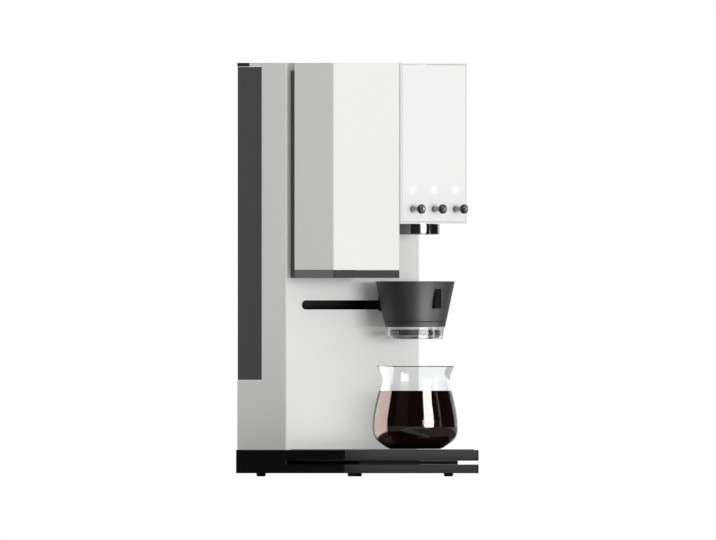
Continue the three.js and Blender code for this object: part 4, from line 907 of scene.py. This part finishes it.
glass_inner = [
    (radius - GLASS_WALL, height) for radius, height in reversed(glass_outer) if height > WALL_START
]
glass_floor = [(FLOOR_SHARE * BELLY_RADIUS, GLASS_FLOOR), (0, GLASS_FLOOR)]
carafe = spun(glass_outer + glass_inner + glass_floor, carafe_axis, GLASS_STEPS)
for vert in carafe.verts:
    offset = Vector((vert.co.x - carafe_axis.x, vert.co.y - carafe_axis.y, 0))
    into_lip = 1 - (1 - (vert.co.z - carafe_axis.z) / carafe_height) / LIP_SHARE
    turn = abs(math.atan2(offset.y, offset.x) - LIP_TURN)
    if into_lip > 0 and turn < LIP_HALF_ANGLE:
        pull = math.cos(turn / LIP_HALF_ANGLE * math.pi / 2) ** 2 * into_lip
        vert.co.x += LIP_REACH * pull * math.cos(LIP_TURN)
        vert.co.y += LIP_REACH * pull * math.sin(LIP_TURN)
        vert.co.z -= LIP_DROP * pull
carafe_glass = bpy.data.materials.new("blown_glass")
carafe_glass.use_nodes = True
glass_shader = carafe_glass.node_tree.nodes["Principled BSDF"]
glass_shader.inputs["Base Color"].default_value = (0.985, 0.99, 0.99, 1)
glass_shader.inputs["Roughness"].default_value = 0.0
glass_shader.inputs["Transmission Weight"].default_value = 1
glass_shader.inputs["IOR"].default_value = 1.36
# Painted shade: a grey copy of the glass for the top of the rim, standing in for its dark edge
# line.
rim_glass_painted_shade = carafe_glass.copy()
rim_glass_painted_shade.name = "rim_glass_painted_shade"
rim_shader = rim_glass_painted_shade.node_tree.nodes["Principled BSDF"]
rim_shader.inputs["Base Color"].default_value = (0.4, 0.41, 0.41, 1)
for face in carafe.faces:
    height = face.calc_center_median().z - carafe_axis.z
    face.material_index = 1 if height > (1 - PAINTED_RIM_SHADE_SHARE) * carafe_height else 0
glass_piece = put_piece(
    "glass_carafe",
    carafe,
    [carafe_glass, rim_glass_painted_shade],
    "carafe",
    "carafe_glass",
    "carafe_glass",
    smooth_angle=60,
    even=False,
)
glass_piece.visible_shadow = False
glass_piece.visible_diffuse = False

# Coffee: it fills the carafe to below the neck, nearly black; its reflections are tinted red brown,
# a painted sheen. It reaches a hair into the glass, so that no air shows between them, and creeps
# up a little at the wall.
COFFEE_LEVEL = 0.0625
COFFEE_SINK = 0.00012
CREEP_HEIGHT = 0.0006
CREEP_WIDTH = 0.002
COFFEE_CORNER = 0.0012
COFFEE_SHOULDER = 0.002
coffee_side = [
    (radius - GLASS_WALL + COFFEE_SINK, height)
    for radius, height in glass_outer
    if WALL_START < height < COFFEE_LEVEL - COFFEE_SHOULDER
]
rim_radius = coffee_side[-1][0] - COFFEE_CORNER
coffee_profile = [
    (0, GLASS_FLOOR - COFFEE_SINK),
    (FLOOR_SHARE * BELLY_RADIUS, GLASS_FLOOR - COFFEE_SINK),
    *coffee_side,
    (rim_radius, COFFEE_LEVEL),
    (rim_radius - CREEP_WIDTH, COFFEE_LEVEL - CREEP_HEIGHT),
    (0, COFFEE_LEVEL - CREEP_HEIGHT),
]
coffee = spun(coffee_profile, carafe_axis, GLASS_STEPS)
coffee_brown = bpy.data.materials.new("brewed_coffee")
coffee_brown.use_nodes = True
coffee_shader = coffee_brown.node_tree.nodes["Principled BSDF"]
coffee_shader.inputs["Base Color"].default_value = (0.004, 0.0008, 0.0005, 1)
coffee_shader.inputs["Roughness"].default_value = 0.03
# Painted sheen: the coffee's reflections are tinted rosy.
coffee_shader.inputs["Specular Tint"].default_value = (1, 0.86, 0.82, 1)
coffee_shader.inputs["IOR"].default_value = 1.45
coffee_piece = put_piece(
    "brewed_coffee", coffee, coffee_brown, "carafe", "smoked_plastic", smooth_angle=60, even=False
)
coffee_piece.visible_shadow = False

# Works in the column: the heater, the pump and the power board, with the power inlet and its
# rocker at the back.
dress("heater_block", steel)
dress("water_pump", black_matte)
dress("power_board", board_green)
soften_node("power_inlet", black_matte, "machine", "black_matte", 0.0003, 2)
soften_node("power_rocker", black_gloss, "power_rocker", "black_gloss", 0.0004)
